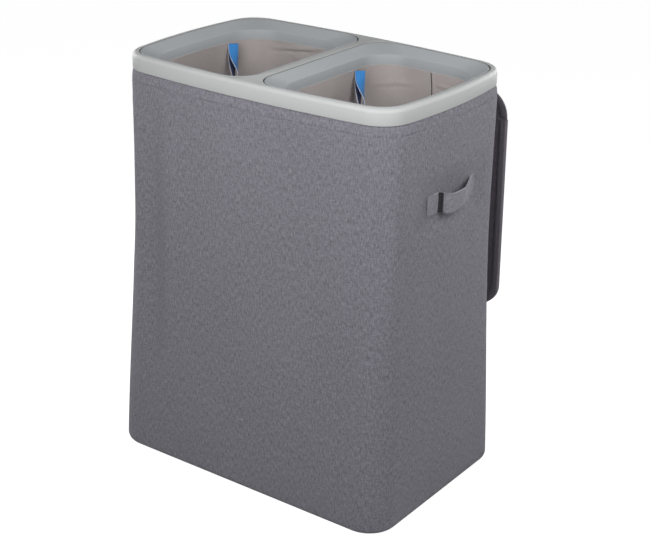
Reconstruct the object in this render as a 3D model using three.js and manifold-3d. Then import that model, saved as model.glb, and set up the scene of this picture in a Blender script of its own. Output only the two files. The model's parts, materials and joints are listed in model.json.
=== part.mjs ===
// Laundry hamper with two lift-out bins: a moulded rim on four poles and a base tray, inside a
// fabric cover, with a fabric lid that hangs behind it from a sewn hinge strip.
// Millimetres, +Z up, the origin on the floor under the middle of the rim. -Y is the front.
import * as THREE from 'three';
import { mergeVertices } from 'three/addons/utils/BufferGeometryUtils.js';
import Module from 'manifold-3d';

const wasm = await Module();
wasm.setup();

// Overall size, taken over the rim at the middle of its bowed sides
const overallWidth = 560;
const overallDepth = 372;
const overallHeight = 725;

// Clearances
const touchGap = 0.3; // between pieces that are sewn to, seated on or pressed against each other
const binGap = 0.8; // all round a bin frame in its pocket
const cutOverrun = 1; // how far a cutting solid runs past what it cuts

// Rim moulding
const rimBandHeight = 30;
const rimCornerRadius = 53;
const rimLongBow = 9.5; // how much a long side is drawn in at its ends
const rimShortBow = 8;
const rimWall = 3;
const rimEdgeRound = 4;
const rimLipWidth = 10; // flat lip between the outer edge and a pocket
const crossbarWidth = 15;
const crossbarRibs = 5;
const crossbarRibThickness = 2;
const pocketCornerRadius = 48;
const pocketWall = 2.4;
const pocketDepth = 9;
const ledgeWidth = 4;
const ledgeThickness = 5;

// Bin frames
const frameSink = 1; // a frame's top under the rim's top
const frameWall = 2.4;
const frameEdgeRound = 0.8;
const frameLipWidth = 1.6;
const flangeWidth = 22;
const flangeDrop = 12;
const mouthWallHeight = 18;
const mouthCornerRadius = 58;

// Bags, their clip rings and pull straps
const bagThickness = 1.6;
const bagHemHeight = 13;
const bagFloorHeight = 42; // underside of a bag over the floor
const bagBottomRound = 34;
const bagFloorRadius = 44;
const bagTuck = 1.2; // how far the cloth comes in under the mouth's wall
const bagTuckDepth = 30; // how far down that fades out
const bagBulge = 9; // how far the middle of a side swells
const bagCornerSwell = 3;
const clipRingHeight = 9;
const clipRingThickness = 2;
const strapWidth = 18;
const strapThickness = 1.6;
const strapLength = 112;
const strapFacing = THREE.MathUtils.degToRad(-48); // the way its face looks at the top, from +X
const strapTwist = THREE.MathUtils.degToRad(80);
const strapPlace = 109; // from the rim's back edge to the middle of the strap's top
const strapSteps = 6;

// Outer cover
const coverThickness = 2;
const coverHemInset = 3.3; // the cloth inside the rim band's face
const coverFlare = 12.5; // how much wider each side is at the floor than under the rim
const coverWaist = 6; // how far the cloth is drawn in between rim and base
const coverWaistShare = 0.38; // how far down the waist lies
const baseCornerRadius = 54;
const coverBottomRound = 12;
const coverTurnUnder = THREE.MathUtils.degToRad(72);
const hemStripThickness = 1.2;
const hemStripHeight = 18;
const cornerFoldDepth = 2.4;
const cornerFoldWaves = 1.5; // folds of cloth round each front corner
const cornerFoldFadeShare = 0.5; // how far down they fade out

// Base
const bottomPanelThickness = 3;
const trayWall = 2.5;
const trayFloor = 4;
const trayHeight = 24;
const trayRibHeight = 8;
const trayRibThickness = 2.4;
const trayRibCount = 3;

// Corner poles and their sockets
const poleRadius = 6;
const poleWall = 1.2;
const poleClearance = 0.3;
const poleInset = 21; // from the rim's outer edge to a pole's axis, at the corner
const socketWall = 2.2;
const socketDepth = 26;

// Side handles: sewn ends, and a loop that stands off the cover and swings up a little
const handleHeight = 34;
const handleThickness = 2.4;
const handleCentreZ = 548;
const handleStandOff = 24;
const handleRoot = 10; // from the cover to the middle of the loop's ends
const handleFrontEnd = 68; // from the middle of the side to the end of the sewn cloth
const handleFrontFold = 38; // where the front end lifts off the cover
const handleFrontRoot = 33; // where the loop starts
const handleCrown = 12; // where the loop stands out furthest
const handleBackRoot = 42;
const handleBackFold = 56;
const handleBackEnd = 72;
const handleSteps = 12;

// Lid, its hinge strip and the tape that joins the strip to the cover
const lidSideInset = 14; // from the rim's widest edge in to the closed lid's edge
const lidFrontInset = 24; // the same at the front
const lidCornerRadius = 42; // at the lid's free edge
const lidBoardThickness = 4;
const lidBoardInset = 6;
const lidFabricThickness = 1.2;
const bindingThickness = 1;
const bindingWidth = 10;
const lidSeatGap = 0.6; // between the closed lid and the rim
const lidRestTilt = THREE.MathUtils.degToRad(2.2); // the hanging lid leans outwards
const hingeStripThickness = 2.2;
const hingeStripCornerShare = 0.95; // a strip corner's radius over the strip's length
const hingeDrop = 17; // from the rim band's lower edge down to the sewn hinge line
const hingeTapeThickness = 2.6;
const hingeTapeWidth = 14;
const hingeTapeLength = 380;

// Facets
const sideSteps = 5;
const cornerSteps = 8;
const roundSteps = 20;
const bendSteps = 3;
const cornerHandleShare = 0.39; // a cubic's handles over its chord, on a quarter turn
const mergeShare = 0.001;

// Levels of the soft walls, as shares of their height from the bottom up
const bagLevelShares = [0.2, 0.42, 0.64, 0.84, 0.95];
const coverLevelShares = [0.1, 0.24, 0.4, 0.54, 0.66, 0.78, 0.88, 0.96];
const coverInnerShares = [0.35, 0.75];

// Worked out from the sizes above
const halfWidth = overallWidth / 2;
const halfDepth = overallDepth / 2;
const bowLoss = (rimLongBow + rimShortBow) / 2; // what the bows take off a corner's radius
const bowSpanX = halfWidth - rimCornerRadius - bowLoss;
const bowSpanY = halfDepth - rimCornerRadius - bowLoss;
const bandBottomZ = overallHeight - rimBandHeight;
const ledgeTopZ = overallHeight - pocketDepth;
const ledgeBottomZ = ledgeTopZ - ledgeThickness;
const frameTopZ = overallHeight - frameSink;
const mouthTopZ = frameTopZ - flangeDrop;
const mouthBottomZ = mouthTopZ - mouthWallHeight;
const frameInset = rimLipWidth + binGap;
const mouthInset = frameInset + flangeWidth;
const hemInset = mouthInset - frameWall - touchGap;
const coverTopZ = overallHeight - rimWall - touchGap;
const trayBottomZ = bottomPanelThickness + touchGap;
const trayFloorZ = trayBottomZ + trayFloor;
const socketRadius = poleRadius + poleClearance + socketWall;
const lidThickness = lidBoardThickness + 2 * (lidFabricThickness + bindingThickness + 2 * touchGap);

const plastic = { roughness: 0.45, metalness: 0 };
const cloth = { roughness: 0.95, metalness: 0 };
const materials = {
  rim: new THREE.MeshStandardMaterial({ color: 0xb9bbb9, ...plastic }),
  frame: new THREE.MeshStandardMaterial({ color: 0x9b9fa2, ...plastic }),
  base: new THREE.MeshStandardMaterial({ color: 0x77797c, ...plastic }),
  clip: new THREE.MeshStandardMaterial({ color: 0x8c8f92, ...plastic }),
  pole: new THREE.MeshStandardMaterial({ color: 0xa9abad, roughness: 0.35, metalness: 0.9 }),
  cover: new THREE.MeshStandardMaterial({ color: 0x78767e, ...cloth }),
  lining: new THREE.MeshStandardMaterial({ color: 0x958d8b, ...cloth }),
  webbing: new THREE.MeshStandardMaterial({ color: 0x2a6fae, ...cloth }),
  lid: new THREE.MeshStandardMaterial({ color: 0x3c383e, ...cloth }),
  board: new THREE.MeshStandardMaterial({ color: 0x8a6f52, ...cloth }),
};

const hamper = new THREE.Group();

function addMesh(name, geometry, material, parent = hamper) {
  geometry.computeVertexNormals();
  const mesh = new THREE.Mesh(geometry, material);
  mesh.name = name;
  parent.add(mesh);
}

// Solids: lofts through rings of equal length, and joins and cuts between them

function loft(rings, closed = false) {
  const count = rings[0].length;
  const points = rings.flat();
  const faces = [];
  const strips = closed ? rings.length : rings.length - 1;
  for (let strip = 0; strip < strips; strip += 1) {
    const low = strip * count;
    const high = ((strip + 1) % rings.length) * count;
    for (let step = 0; step < count; step += 1) {
      const next = (step + 1) % count;
      faces.push(low + step, low + next, high + next, low + step, high + next, high + step);
    }
  }
  if (!closed) {
    const last = points.length - count;
    const lowCentre = points.push(centreOf(rings[0])) - 1;
    const highCentre = points.push(centreOf(rings.at(-1))) - 1;
    for (let step = 0; step < count; step += 1) {
      const next = (step + 1) % count;
      faces.push(lowCentre, next, step, highCentre, last + step, last + next);
    }
  }
  const geometry = new THREE.BufferGeometry().setFromPoints(points);
  geometry.setIndex(faces);
  return geometry;
}

function centreOf(ring) {
  const sum = ring.reduce((total, point) => total.add(point), new THREE.Vector3());
  return sum.divideScalar(ring.length);
}

function toSolid(geometry) {
  const bare = new THREE.BufferGeometry();
  bare.setAttribute('position', geometry.getAttribute('position'));
  if (geometry.index) bare.setIndex(geometry.index);
  const merged = mergeVertices(bare, touchGap * mergeShare);
  return new wasm.Manifold(new wasm.Mesh({
    numProp: 3,
    vertProperties: new Float32Array(merged.getAttribute('position').array),
    triVerts: new Uint32Array(merged.index.array),
  }));
}

function toGeometry(solid) {
  const { vertProperties, triVerts } = solid.getMesh();
  const geometry = new THREE.BufferGeometry();
  geometry.setAttribute('position', new THREE.BufferAttribute(new Float32Array(vertProperties), 3));
  geometry.setIndex(new THREE.BufferAttribute(new Uint32Array(triVerts), 1));
  return geometry;
}

function circleRing([x, y], radius, z) {
  return Array.from({ length: roundSteps }, (_, step) => {
    const angle = (step / roundSteps) * 2 * Math.PI;
    return new THREE.Vector3(x + radius * Math.cos(angle), y + radius * Math.sin(angle), z);
  });
}

function cylinderSolid(centre, radius, lowZ, highZ) {
  return toSolid(loft([circleRing(centre, radius, lowZ), circleRing(centre, radius, highZ)]));
}

function boxSolid([x, y, z], [width, depth, height]) {
  const box = new THREE.BoxGeometry(width, depth, height);
  box.translate(x, y, z + height / 2);
  return toSolid(box);
}

// Plan outlines: four sides, each exactly one quadratic curve, joined by rounded corners. A side
// is drawn in at its ends by its bow, and swells at its own middle by the bulge.

function sideCurve(place, from, to) {
  const start = place(from);
  const end = place(to);
  const control = place((from + to) / 2).multiplyScalar(2);
  control.addScaledVector(start, -1 / 2).addScaledVector(end, -1 / 2);
  return new THREE.QuadraticBezierCurve(start, control, end);
}

function cornerCurve(before, after) {
  const reach = before.v2.distanceTo(after.v0) * cornerHandleShare;
  const leave = before.v2.clone().sub(before.v1).setLength(reach).add(before.v2);
  const arrive = after.v0.clone().sub(after.v1).setLength(reach).add(after.v0);
  return new THREE.CubicBezierCurve(before.v2, leave, arrive, after.v0);
}

function planOutline(shape) {
  const { left, right, depth, leftRadius, rightRadius } = shape;
  const { longBow, leftBow, rightBow, bulge = 0 } = shape;
  const centreX = (left + right) / 2;
  const reachX = (right - left) / 2 - (leftRadius + rightRadius) / 2;
  const leftReach = depth - leftRadius;
  const rightReach = depth - rightRadius;
  const swell = share => bulge * (1 - share ** 2);
  const longY = x => depth - longBow * (x / bowSpanX) ** 2 + swell((x - centreX) / reachX);
  const rightX = y => right - rightBow * (y / bowSpanY) ** 2 + swell(y / rightReach);
  const leftX = y => left + leftBow * (y / bowSpanY) ** 2 - swell(y / leftReach);
  const sides = [
    sideCurve(x => new THREE.Vector2(x, -longY(x)), left + leftRadius, right - rightRadius),
    sideCurve(y => new THREE.Vector2(rightX(y), y), -rightReach, rightReach),
    sideCurve(x => new THREE.Vector2(x, longY(x)), right - rightRadius, left + leftRadius),
    sideCurve(y => new THREE.Vector2(leftX(y), y), leftReach, -leftReach),
  ];
  return sides.flatMap((side, index) => {
    const corner = cornerCurve(side, sides[(index + 1) % sides.length]);
    return [...side.getPoints(sideSteps).slice(0, -1), ...corner.getPoints(cornerSteps).slice(0, -1)];
  });
}

function ringAt(outline, z) {
  return outline.map(point => new THREE.Vector3(point.x, point.y, z));
}

function rimRing(inset, z) {
  return ringAt(planOutline({
    left: inset - halfWidth,
    right: halfWidth - inset,
    depth: halfDepth - inset,
    leftRadius: rimCornerRadius + bowLoss - inset,
    rightRadius: rimCornerRadius + bowLoss - inset,
    longBow: rimLongBow,
    leftBow: rimShortBow,
    rightBow: rimShortBow,
  }), z);
}

// A bin's outline follows the rim's on three sides and runs straight along the crossbar. The inset
// is taken from the rim's outer edge, and side is 1 for the right bin and -1 for the left one.
function binShape(side, inset, radius, bulge = 0) {
  const inner = crossbarWidth / 2 + inset - rimLipWidth;
  const outer = halfWidth - inset;
  const isRight = side > 0;
  return {
    left: isRight ? inner : -outer,
    right: isRight ? outer : -inner,
    depth: halfDepth - inset,
    leftRadius: isRight ? radius : radius + bowLoss,
    rightRadius: isRight ? radius + bowLoss : radius,
    longBow: rimLongBow,
    leftBow: isRight ? 0 : rimShortBow,
    rightBow: isRight ? rimShortBow : 0,
    bulge,
  };
}

function binRing(side, inset, radius, z) {
  return ringAt(planOutline(binShape(side, inset, radius)), z);
}

// The rim: an outer band with a flat lip, two pockets with a seat ledge, a crossbar between them
// and four sockets for the poles. Its underside is hollow and takes the cover's hem.

function rimShell() {
  const roundRings = Array.from({ length: bendSteps + 1 }, (_, step) => {
    const angle = (step / bendSteps) * (Math.PI / 2);
    const inset = rimEdgeRound * (1 - Math.cos(angle));
    return rimRing(inset, overallHeight - rimEdgeRound * (1 - Math.sin(angle)));
  });
  const outer = toSolid(loft([rimRing(0, bandBottomZ), ...roundRings]));
  const hollow = toSolid(loft([
    rimRing(rimWall, bandBottomZ - cutOverrun),
    rimRing(rimWall, overallHeight - rimWall),
  ]));
  return outer.subtract(hollow);
}

function pocketCollar(side) {
  const ring = z => binRing(side, rimLipWidth - pocketWall, pocketCornerRadius + pocketWall, z);
  return toSolid(loft([ring(ledgeBottomZ), ring(overallHeight - rimWall / 2)]));
}

function pocketCut(side) {
  const recess = z => binRing(side, rimLipWidth, pocketCornerRadius, z);
  const throat = z => binRing(side, rimLipWidth + ledgeWidth, pocketCornerRadius - ledgeWidth, z);
  return toSolid(loft([recess(ledgeTopZ), recess(overallHeight + cutOverrun)]))
    .add(toSolid(loft([throat(ledgeBottomZ - cutOverrun), throat(ledgeTopZ + cutOverrun)])));
}

function poleCentres() {
  const reach = (rimCornerRadius - poleInset) * Math.SQRT1_2;
  const x = bowSpanX + reach;
  const y = bowSpanY + reach;
  return { front_left: [-x, -y], front_right: [x, -y], back_left: [-x, y], back_right: [x, y] };
}

// A rim socket hangs from the ledge with its mouth down
function rimSocket(centre) {
  const mouthZ = ledgeBottomZ - socketDepth;
  const boss = cylinderSolid(centre, socketRadius, mouthZ, ledgeBottomZ + touchGap);
  const bore = cylinderSolid(centre, poleRadius + poleClearance, mouthZ - cutOverrun,
    ledgeBottomZ - socketWall);
  return boss.subtract(bore);
}

function makeRim() {
  let rim = rimShell();
  for (const side of [-1, 1]) rim = rim.add(pocketCollar(side));
  const ribSize = [
    crossbarWidth - pocketWall,
    crossbarRibThickness,
    overallHeight - rimWall / 2 - ledgeBottomZ,
  ];
  for (let rib = 1; rib <= crossbarRibs; rib += 1) {
    const y = 2 * (halfDepth - pocketCornerRadius) * (rib / (crossbarRibs + 1) - 1 / 2);
    rim = rim.add(boxSolid([0, y, ledgeBottomZ], ribSize));
  }
  for (const side of [-1, 1]) rim = rim.subtract(pocketCut(side));
  for (const centre of Object.values(poleCentres())) rim = rim.add(rimSocket(centre));
  addMesh('top_rim', toGeometry(rim), materials.rim);
}

// A bin frame: an edge that sits on the ledge, a funnel flange and an upright mouth wall
function makeBinFrame(name, side) {
  const outerRadius = pocketCornerRadius - binGap;
  const flangeRun = flangeWidth - frameLipWidth;
  const flangeThickness = frameWall * Math.hypot(1, flangeDrop / flangeRun);
  const share = run => (run - frameLipWidth) / flangeRun;
  const flangeZ = run => frameTopZ - flangeDrop * share(run);
  const flangeRadius = run =>
    THREE.MathUtils.lerp(outerRadius - frameLipWidth, mouthCornerRadius, share(run));
  const ring = (run, radius, z) => binRing(side, frameInset + run, radius, z);
  const flangeTop = Array.from({ length: bendSteps }, (_, step) => {
    const run = frameLipWidth + flangeRun * (step / bendSteps);
    return ring(run, flangeRadius(run), flangeZ(run));
  });
  const wallRun = flangeWidth - frameWall;
  const seatZ = ledgeTopZ + touchGap;
  const wallRadius = mouthCornerRadius + frameWall;
  addMesh(name, loft([
    ring(0, outerRadius, seatZ),
    ring(0, outerRadius, frameTopZ - frameEdgeRound),
    ring(frameEdgeRound, outerRadius - frameEdgeRound, frameTopZ),
    ...flangeTop,
    ring(flangeWidth, mouthCornerRadius, mouthTopZ),
    ring(flangeWidth, mouthCornerRadius, mouthBottomZ),
    ring(wallRun, wallRadius, mouthBottomZ),
    ring(wallRun, wallRadius, flangeZ(wallRun) - flangeThickness),
    ring(frameWall, flangeRadius(frameWall), flangeZ(frameWall) - flangeThickness),
    ring(frameWall, outerRadius - frameWall, seatZ),
  ], true), materials.frame);
}

// A bag: its hem grips the outside of the mouth's wall, and the cloth swells below it. The offset
// goes from the outer face of the cloth inwards.
function bagRing(side, offset, z, extraInset = 0) {
  const below = Math.max(0, mouthBottomZ - touchGap - z);
  const drop = below / (mouthBottomZ - bagFloorHeight);
  const tuck = below > 0 ? (bagTuck + frameWall) * Math.exp(-below / bagTuckDepth) : 0;
  const wave = Math.sin(Math.PI * Math.min(drop, 1));
  const inset = hemInset - bagThickness + offset + tuck - bagCornerSwell * wave + extraInset;
  const hemRadius = mouthCornerRadius + mouthInset - inset;
  const radius = THREE.MathUtils.lerp(hemRadius, bagFloorRadius, drop);
  return ringAt(planOutline(binShape(side, inset, radius, (bagBulge - bagCornerSwell) * wave)), z);
}

function bagWall(side, offset) {
  const round = bagBottomRound - offset;
  const bottom = Array.from({ length: bendSteps + 1 }, (_, step) => {
    const angle = (step / (bendSteps + 1)) * (Math.PI / 2);
    const z = bagFloorHeight + offset + round * (1 - Math.cos(angle));
    return bagRing(side, offset, z, round * (1 - Math.sin(angle)));
  });
  const span = mouthBottomZ - bagFloorHeight;
  const wall = bagLevelShares.map(share => bagRing(side, offset, bagFloorHeight + span * share));
  return [
    ...bottom,
    ...wall,
    bagRing(side, offset, mouthBottomZ - 2 * touchGap),
    bagRing(side, offset, mouthBottomZ - touchGap),
    bagRing(side, offset, mouthBottomZ + bagHemHeight),
  ];
}

function makeBag(name, side) {
  const rings = [...bagWall(side, 0), ...bagWall(side, bagThickness).reverse()];
  addMesh(name, loft(rings), materials.lining);
}

// A clip ring presses the bag's hem on to the mouth's wall
function makeClipRing(name, side) {
  const inner = hemInset - bagThickness - touchGap;
  const ring = (run, z) => binRing(side, inner - run, mouthCornerRadius + mouthInset - inner + run, z);
  const lowZ = mouthBottomZ + touchGap;
  const highZ = lowZ + clipRingHeight;
  addMesh(name, loft([
    ring(clipRingThickness, lowZ),
    ring(clipRingThickness, highZ),
    ring(0, highZ),
    ring(0, lowZ),
  ], true), materials.clip);
}

// A webbing strap hangs twisted from the cloth at the left of a bag, close to its back corner and
// under the mouth's wall
function makeStrap(name, side) {
  const inner = bagRing(side, bagThickness, mouthBottomZ - 2 * touchGap);
  const sideStart = inner[3 * sideSteps + 3 * cornerSteps];
  const along = inner[3 * sideSteps + 3 * cornerSteps + 1].clone().sub(sideStart).normalize();
  const inward = new THREE.Vector3(-along.y, along.x, 0);
  const section = facing => [
    new THREE.Vector3(Math.cos(facing), Math.sin(facing), 0).multiplyScalar(strapThickness / 2),
    new THREE.Vector3(-Math.sin(facing), Math.cos(facing), 0).multiplyScalar(strapWidth / 2),
  ];
  // The strap's nearest edge lies against the cloth
  const toPlace = halfDepth - strapPlace - sideStart.y;
  const top = sideStart.clone().addScaledVector(along, toPlace / along.y);
  top.addScaledVector(inward, touchGap);
  for (const half of section(strapFacing)) top.addScaledVector(half, Math.sign(half.dot(inward)));
  const corners = [[1, -1], [1, 1], [-1, 1], [-1, -1]];
  const rings = Array.from({ length: strapSteps + 1 }, (_, step) => {
    const share = step / strapSteps;
    const [through, across] = section(strapFacing + strapTwist * (1 - share));
    const centre = top.clone();
    centre.z -= strapLength * (1 - share);
    return corners.map(([out, over]) => centre.clone()
      .addScaledVector(through, out)
      .addScaledVector(across, over));
  });
  addMesh(name, loft(rings), materials.webbing);
}

// The cover: a sleeve of cloth held in the rim's hollow, drawn in at a waist, wider at the floor,
// turned under at the bottom and lying in shallow folds round the front corners.

function coverShape(inset, z) {
  const drop = Math.max(0, bandBottomZ - z) / bandBottomZ;
  const waistPower = Math.log(1 / 2) / Math.log(coverWaistShare);
  const waist = coverWaist * Math.sin(Math.PI * drop ** waistPower) ** 2;
  const taken = coverHemInset + inset + waist - coverFlare * drop;
  const topRadius = rimCornerRadius + bowLoss - coverHemInset;
  const radius = THREE.MathUtils.lerp(topRadius, baseCornerRadius, drop) - inset;
  return {
    left: taken - halfWidth,
    right: halfWidth - taken,
    depth: halfDepth - taken,
    leftRadius: radius,
    rightRadius: radius,
    longBow: rimLongBow * (1 - drop),
    leftBow: rimShortBow * (1 - drop),
    rightBow: rimShortBow * (1 - drop),
  };
}

function coverRing(inset, z) {
  const outline = planOutline(coverShape(inset, z));
  const drop = (bandBottomZ - z) / bandBottomZ;
  const fade = drop > 0 ? Math.sin(Math.PI * Math.min(1, drop / cornerFoldFadeShare)) : 0;
  return outline.map(point => {
    const turn = Math.atan2(point.y + bowSpanY, Math.abs(point.x) - bowSpanX);
    const share = turn / (-Math.PI / 2);
    const inCorner = share > 0 && share < 1 ? Math.sin(Math.PI * share) ** 2 : 0;
    const wave = Math.sin(2 * Math.PI * cornerFoldWaves * share);
    const fold = cornerFoldDepth * fade * inCorner * wave;
    const away = Math.hypot(point.x, point.y);
    return new THREE.Vector3(point.x, point.y, z)
      .addScaledVector(new THREE.Vector3(point.x / away, point.y / away, 0), fold);
  });
}

// Rings of the turned-under bottom edge, at a depth into the cloth, from the lowest one up
function bottomRoundRings(depthIn, lowestAngle) {
  const round = coverBottomRound - depthIn;
  return Array.from({ length: bendSteps + 1 }, (_, step) => {
    const angle = lowestAngle * (1 - step / bendSteps);
    const inset = coverBottomRound - round * Math.cos(angle);
    return coverRing(inset, coverBottomRound - round * Math.sin(angle));
  });
}

function makeCover() {
  const span = bandBottomZ - coverBottomRound;
  const level = (inset, share) => coverRing(inset, coverBottomRound + span * share);
  addMesh('outer_cover', loft([
    ...bottomRoundRings(0, coverTurnUnder),
    ...coverLevelShares.map(share => level(0, share)),
    coverRing(0, bandBottomZ),
    coverRing(0, coverTopZ),
    coverRing(coverThickness, coverTopZ),
    coverRing(coverThickness, bandBottomZ),
    ...coverInnerShares.toReversed().map(share => level(coverThickness, share)),
    ...bottomRoundRings(coverThickness, coverTurnUnder).reverse(),
  ], true), materials.cover);
}

// A stiff strip sewn in the cover's hem, which presses the cloth into the rim's hollow
function makeHemStrip() {
  const outer = coverThickness + touchGap;
  const inner = outer + hemStripThickness;
  const lowZ = coverTopZ - hemStripHeight;
  addMesh('cover_hem_strip', loft([
    coverRing(outer, lowZ),
    coverRing(outer, coverTopZ),
    coverRing(inner, coverTopZ),
    coverRing(inner, lowZ),
  ], true), materials.base);
}

// The base: a bottom panel on the floor, and a ribbed tray on it that carries the poles

function makeBottomPanel() {
  const inset = coverBottomRound - (coverBottomRound - coverThickness) * Math.cos(coverTurnUnder);
  const ring = z => ringAt(planOutline(coverShape(inset + coverThickness / 2, 0)), z);
  addMesh('bottom_panel', loft([ring(0), ring(bottomPanelThickness)]), materials.base);
}

function makeBaseTray() {
  const depthIn = coverThickness + 2 * touchGap;
  const lowestAngle = Math.asin((coverBottomRound - trayBottomZ) / (coverBottomRound - depthIn));
  const topZ = trayBottomZ + trayHeight;
  const inner = depthIn + trayWall;
  let tray = toSolid(loft([
    ...bottomRoundRings(depthIn, lowestAngle),
    coverRing(depthIn, topZ),
    coverRing(inner, topZ),
    coverRing(inner + trayFloor, trayFloorZ),
  ]));
  const poleX = poleCentres().back_right[0];
  const poleY = poleCentres().back_right[1];
  for (let rib = 0; rib < trayRibCount; rib += 1) {
    const share = rib / (trayRibCount - 1) - 1 / 2;
    const height = trayRibHeight + trayFloor / 2;
    const z = trayFloorZ - trayFloor / 2;
    tray = tray.add(boxSolid([0, poleY * share, z], [2 * poleX, trayRibThickness, height]));
    tray = tray.add(boxSolid([poleX * share, 0, z],
      [trayRibThickness, 2 * poleY, height - touchGap]));
  }
  for (const centre of Object.values(poleCentres())) {
    const boss = cylinderSolid(centre, socketRadius, trayFloorZ - trayFloor / 2,
      trayFloorZ + socketDepth);
    tray = tray.add(boss).subtract(cylinderSolid(centre, poleRadius + poleClearance, trayFloorZ,
      trayFloorZ + socketDepth + cutOverrun));
  }
  addMesh('base_tray', toGeometry(tray), materials.base);
}

function makePoles() {
  const lowZ = trayFloorZ + touchGap;
  const highZ = ledgeBottomZ - socketWall - touchGap;
  for (const [corner, centre] of Object.entries(poleCentres())) {
    addMesh(`pole_${corner}`, loft([
      circleRing(centre, poleRadius, lowZ),
      circleRing(centre, poleRadius, highZ),
      circleRing(centre, poleRadius - poleWall, highZ),
      circleRing(centre, poleRadius - poleWall, lowZ),
    ], true), materials.pole);
  }
}

// Side handles: ribbons of cloth that follow a route along the cover, in distance from the middle
// of the side and distance off the cover. Their ends are cut square to the hinge of the loop.

function coverSideX(y, z) {
  const { right, rightBow } = coverShape(0, z);
  return right - rightBow * (y / bowSpanY) ** 2;
}

function makeRibbon(name, side, route, followsSlope) {
  const centres = new THREE.SplineCurve(route.map(([y, off]) => new THREE.Vector2(y, off)))
    .getPoints(handleSteps);
  const last = centres.length - 1;
  const low = handleCentreZ - handleHeight / 2;
  const high = low + handleHeight;
  const rings = centres.map((centre, index) => {
    const along = centres[Math.min(index + 1, last)].clone().sub(centres[Math.max(index - 1, 0)]);
    along.normalize();
    const isEnd = index === 0 || index === last;
    const half = isEnd
      ? new THREE.Vector2(0, handleThickness / 2 / along.x)
      : new THREE.Vector2(-along.y, along.x).multiplyScalar(handleThickness / 2);
    const corner = (out, z) => {
      const point = centre.clone().addScaledVector(half, out);
      const face = coverSideX(point.x, followsSlope ? z : handleCentreZ);
      return new THREE.Vector3(side * (face + point.y), point.x, z);
    };
    const ring = [corner(-1, high), corner(1, high), corner(1, low), corner(-1, low)];
    return side > 0 ? ring : ring.reverse();
  });
  addMesh(name, loft(rings), materials.cover);
}

function makeHandle(name, side) {
  const sewn = touchGap + handleThickness / 2;
  const rise = (handleRoot - sewn) / 2;
  const frontPatch = [
    [-handleFrontEnd, sewn],
    [-handleFrontFold - rise, sewn],
    [-handleFrontFold, sewn + rise / 2],
    [-handleFrontRoot - 2 * touchGap, handleRoot],
  ];
  const loop = [
    [-handleFrontRoot, handleRoot],
    [-(handleFrontRoot + handleCrown) / 2, handleStandOff - handleThickness],
    [-handleCrown, handleStandOff],
    [handleCrown, handleStandOff - handleThickness],
    [handleBackRoot, handleRoot],
  ];
  const backPatch = [
    [handleBackRoot + touchGap, handleRoot],
    [handleBackFold, sewn + rise / 2],
    [handleBackFold + rise, sewn],
    [handleBackEnd, sewn],
  ];
  makeRibbon(`${name}_handle_front_patch`, side, frontPatch, true);
  makeRibbon(`${name}_handle_back_patch`, side, backPatch, true);
  makeRibbon(`${name}_handle_loop`, side, loop, false);
}

// The lid's parts are drawn flat, with x across and y from the hinge towards the free edge, then
// hang from their hinge lines.

const hingeZ = bandBottomZ - hingeDrop;
const tapeFaceY = coverShape(0, hingeZ).depth + 2 * touchGap + hingeTapeThickness;
const stripHalf = hingeStripThickness / 2;
const hingeY = tapeFaceY + touchGap + stripHalf;
const closedTilt = Math.atan2(halfDepth + lidSeatGap + stripHalf - hingeY, hingeDrop);
const lidSeatZ = overallHeight + lidSeatGap + lidThickness / 2;
// The lid folds about the strip's outer face, which looks forwards when the lid is closed
const foldRise = lidSeatZ - hingeZ - stripHalf * (1 + Math.sin(closedTilt));
const stripLength = foldRise / Math.cos(closedTilt);
const foldReach = stripLength * Math.sin(closedTilt) - stripHalf * Math.cos(closedTilt);
const lidLength = halfDepth - lidFrontInset + hingeY + foldReach;

function panelShape(inset, from, to, cornersAtFreeEnd) {
  const half = halfWidth - lidSideInset - inset;
  const radius = (cornersAtFreeEnd ? lidCornerRadius : stripLength * hingeStripCornerShare) - inset;
  const shape = new THREE.Shape();
  if (cornersAtFreeEnd) {
    shape.moveTo(-half, from);
    shape.lineTo(half, from);
    shape.lineTo(half, to - radius);
    shape.absarc(half - radius, to - radius, radius, 0, Math.PI / 2);
    shape.absarc(radius - half, to - radius, radius, Math.PI / 2, Math.PI);
  } else {
    shape.moveTo(-half, to);
    shape.absarc(radius - half, from + radius, radius, Math.PI, Math.PI * 1.5);
    shape.absarc(half - radius, from + radius, radius, Math.PI * 1.5, Math.PI * 2);
    shape.lineTo(half, to);
  }
  return shape;
}

function slab(shape, low, high) {
  const options = { depth: high - low, bevelEnabled: false, curveSegments: cornerSteps };
  const geometry = new THREE.ExtrudeGeometry(shape, options);
  geometry.translate(0, 0, low);
  return toSolid(geometry);
}

function hingeGroup(y, z) {
  const group = new THREE.Group();
  group.position.set(0, y, z);
  group.rotation.x = lidRestTilt - Math.PI / 2;
  hamper.add(group);
  return group;
}

function makeHingeTape() {
  const low = hingeZ - hingeTapeWidth / 2;
  const high = low + hingeTapeWidth;
  const coverY = (x, z) => {
    const { depth, longBow } = coverShape(0, z);
    return depth - longBow * (x / bowSpanX) ** 2 + 2 * touchGap;
  };
  const rings = Array.from({ length: sideSteps + 1 }, (_, step) => {
    const x = hingeTapeLength * (step / sideSteps - 1 / 2);
    return [
      new THREE.Vector3(x, coverY(x, low), low),
      new THREE.Vector3(x, tapeFaceY, low),
      new THREE.Vector3(x, tapeFaceY, high),
      new THREE.Vector3(x, coverY(x, high), high),
    ];
  });
  addMesh('lid_hinge_tape', loft(rings), materials.lid);
}

function makeHingeStrip() {
  const group = hingeGroup(hingeY, hingeZ);
  const shape = panelShape(0, 0, stripLength, false);
  addMesh('lid_hinge_strip', toGeometry(slab(shape, -stripHalf, stripHalf)), materials.lid, group);
}

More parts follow.
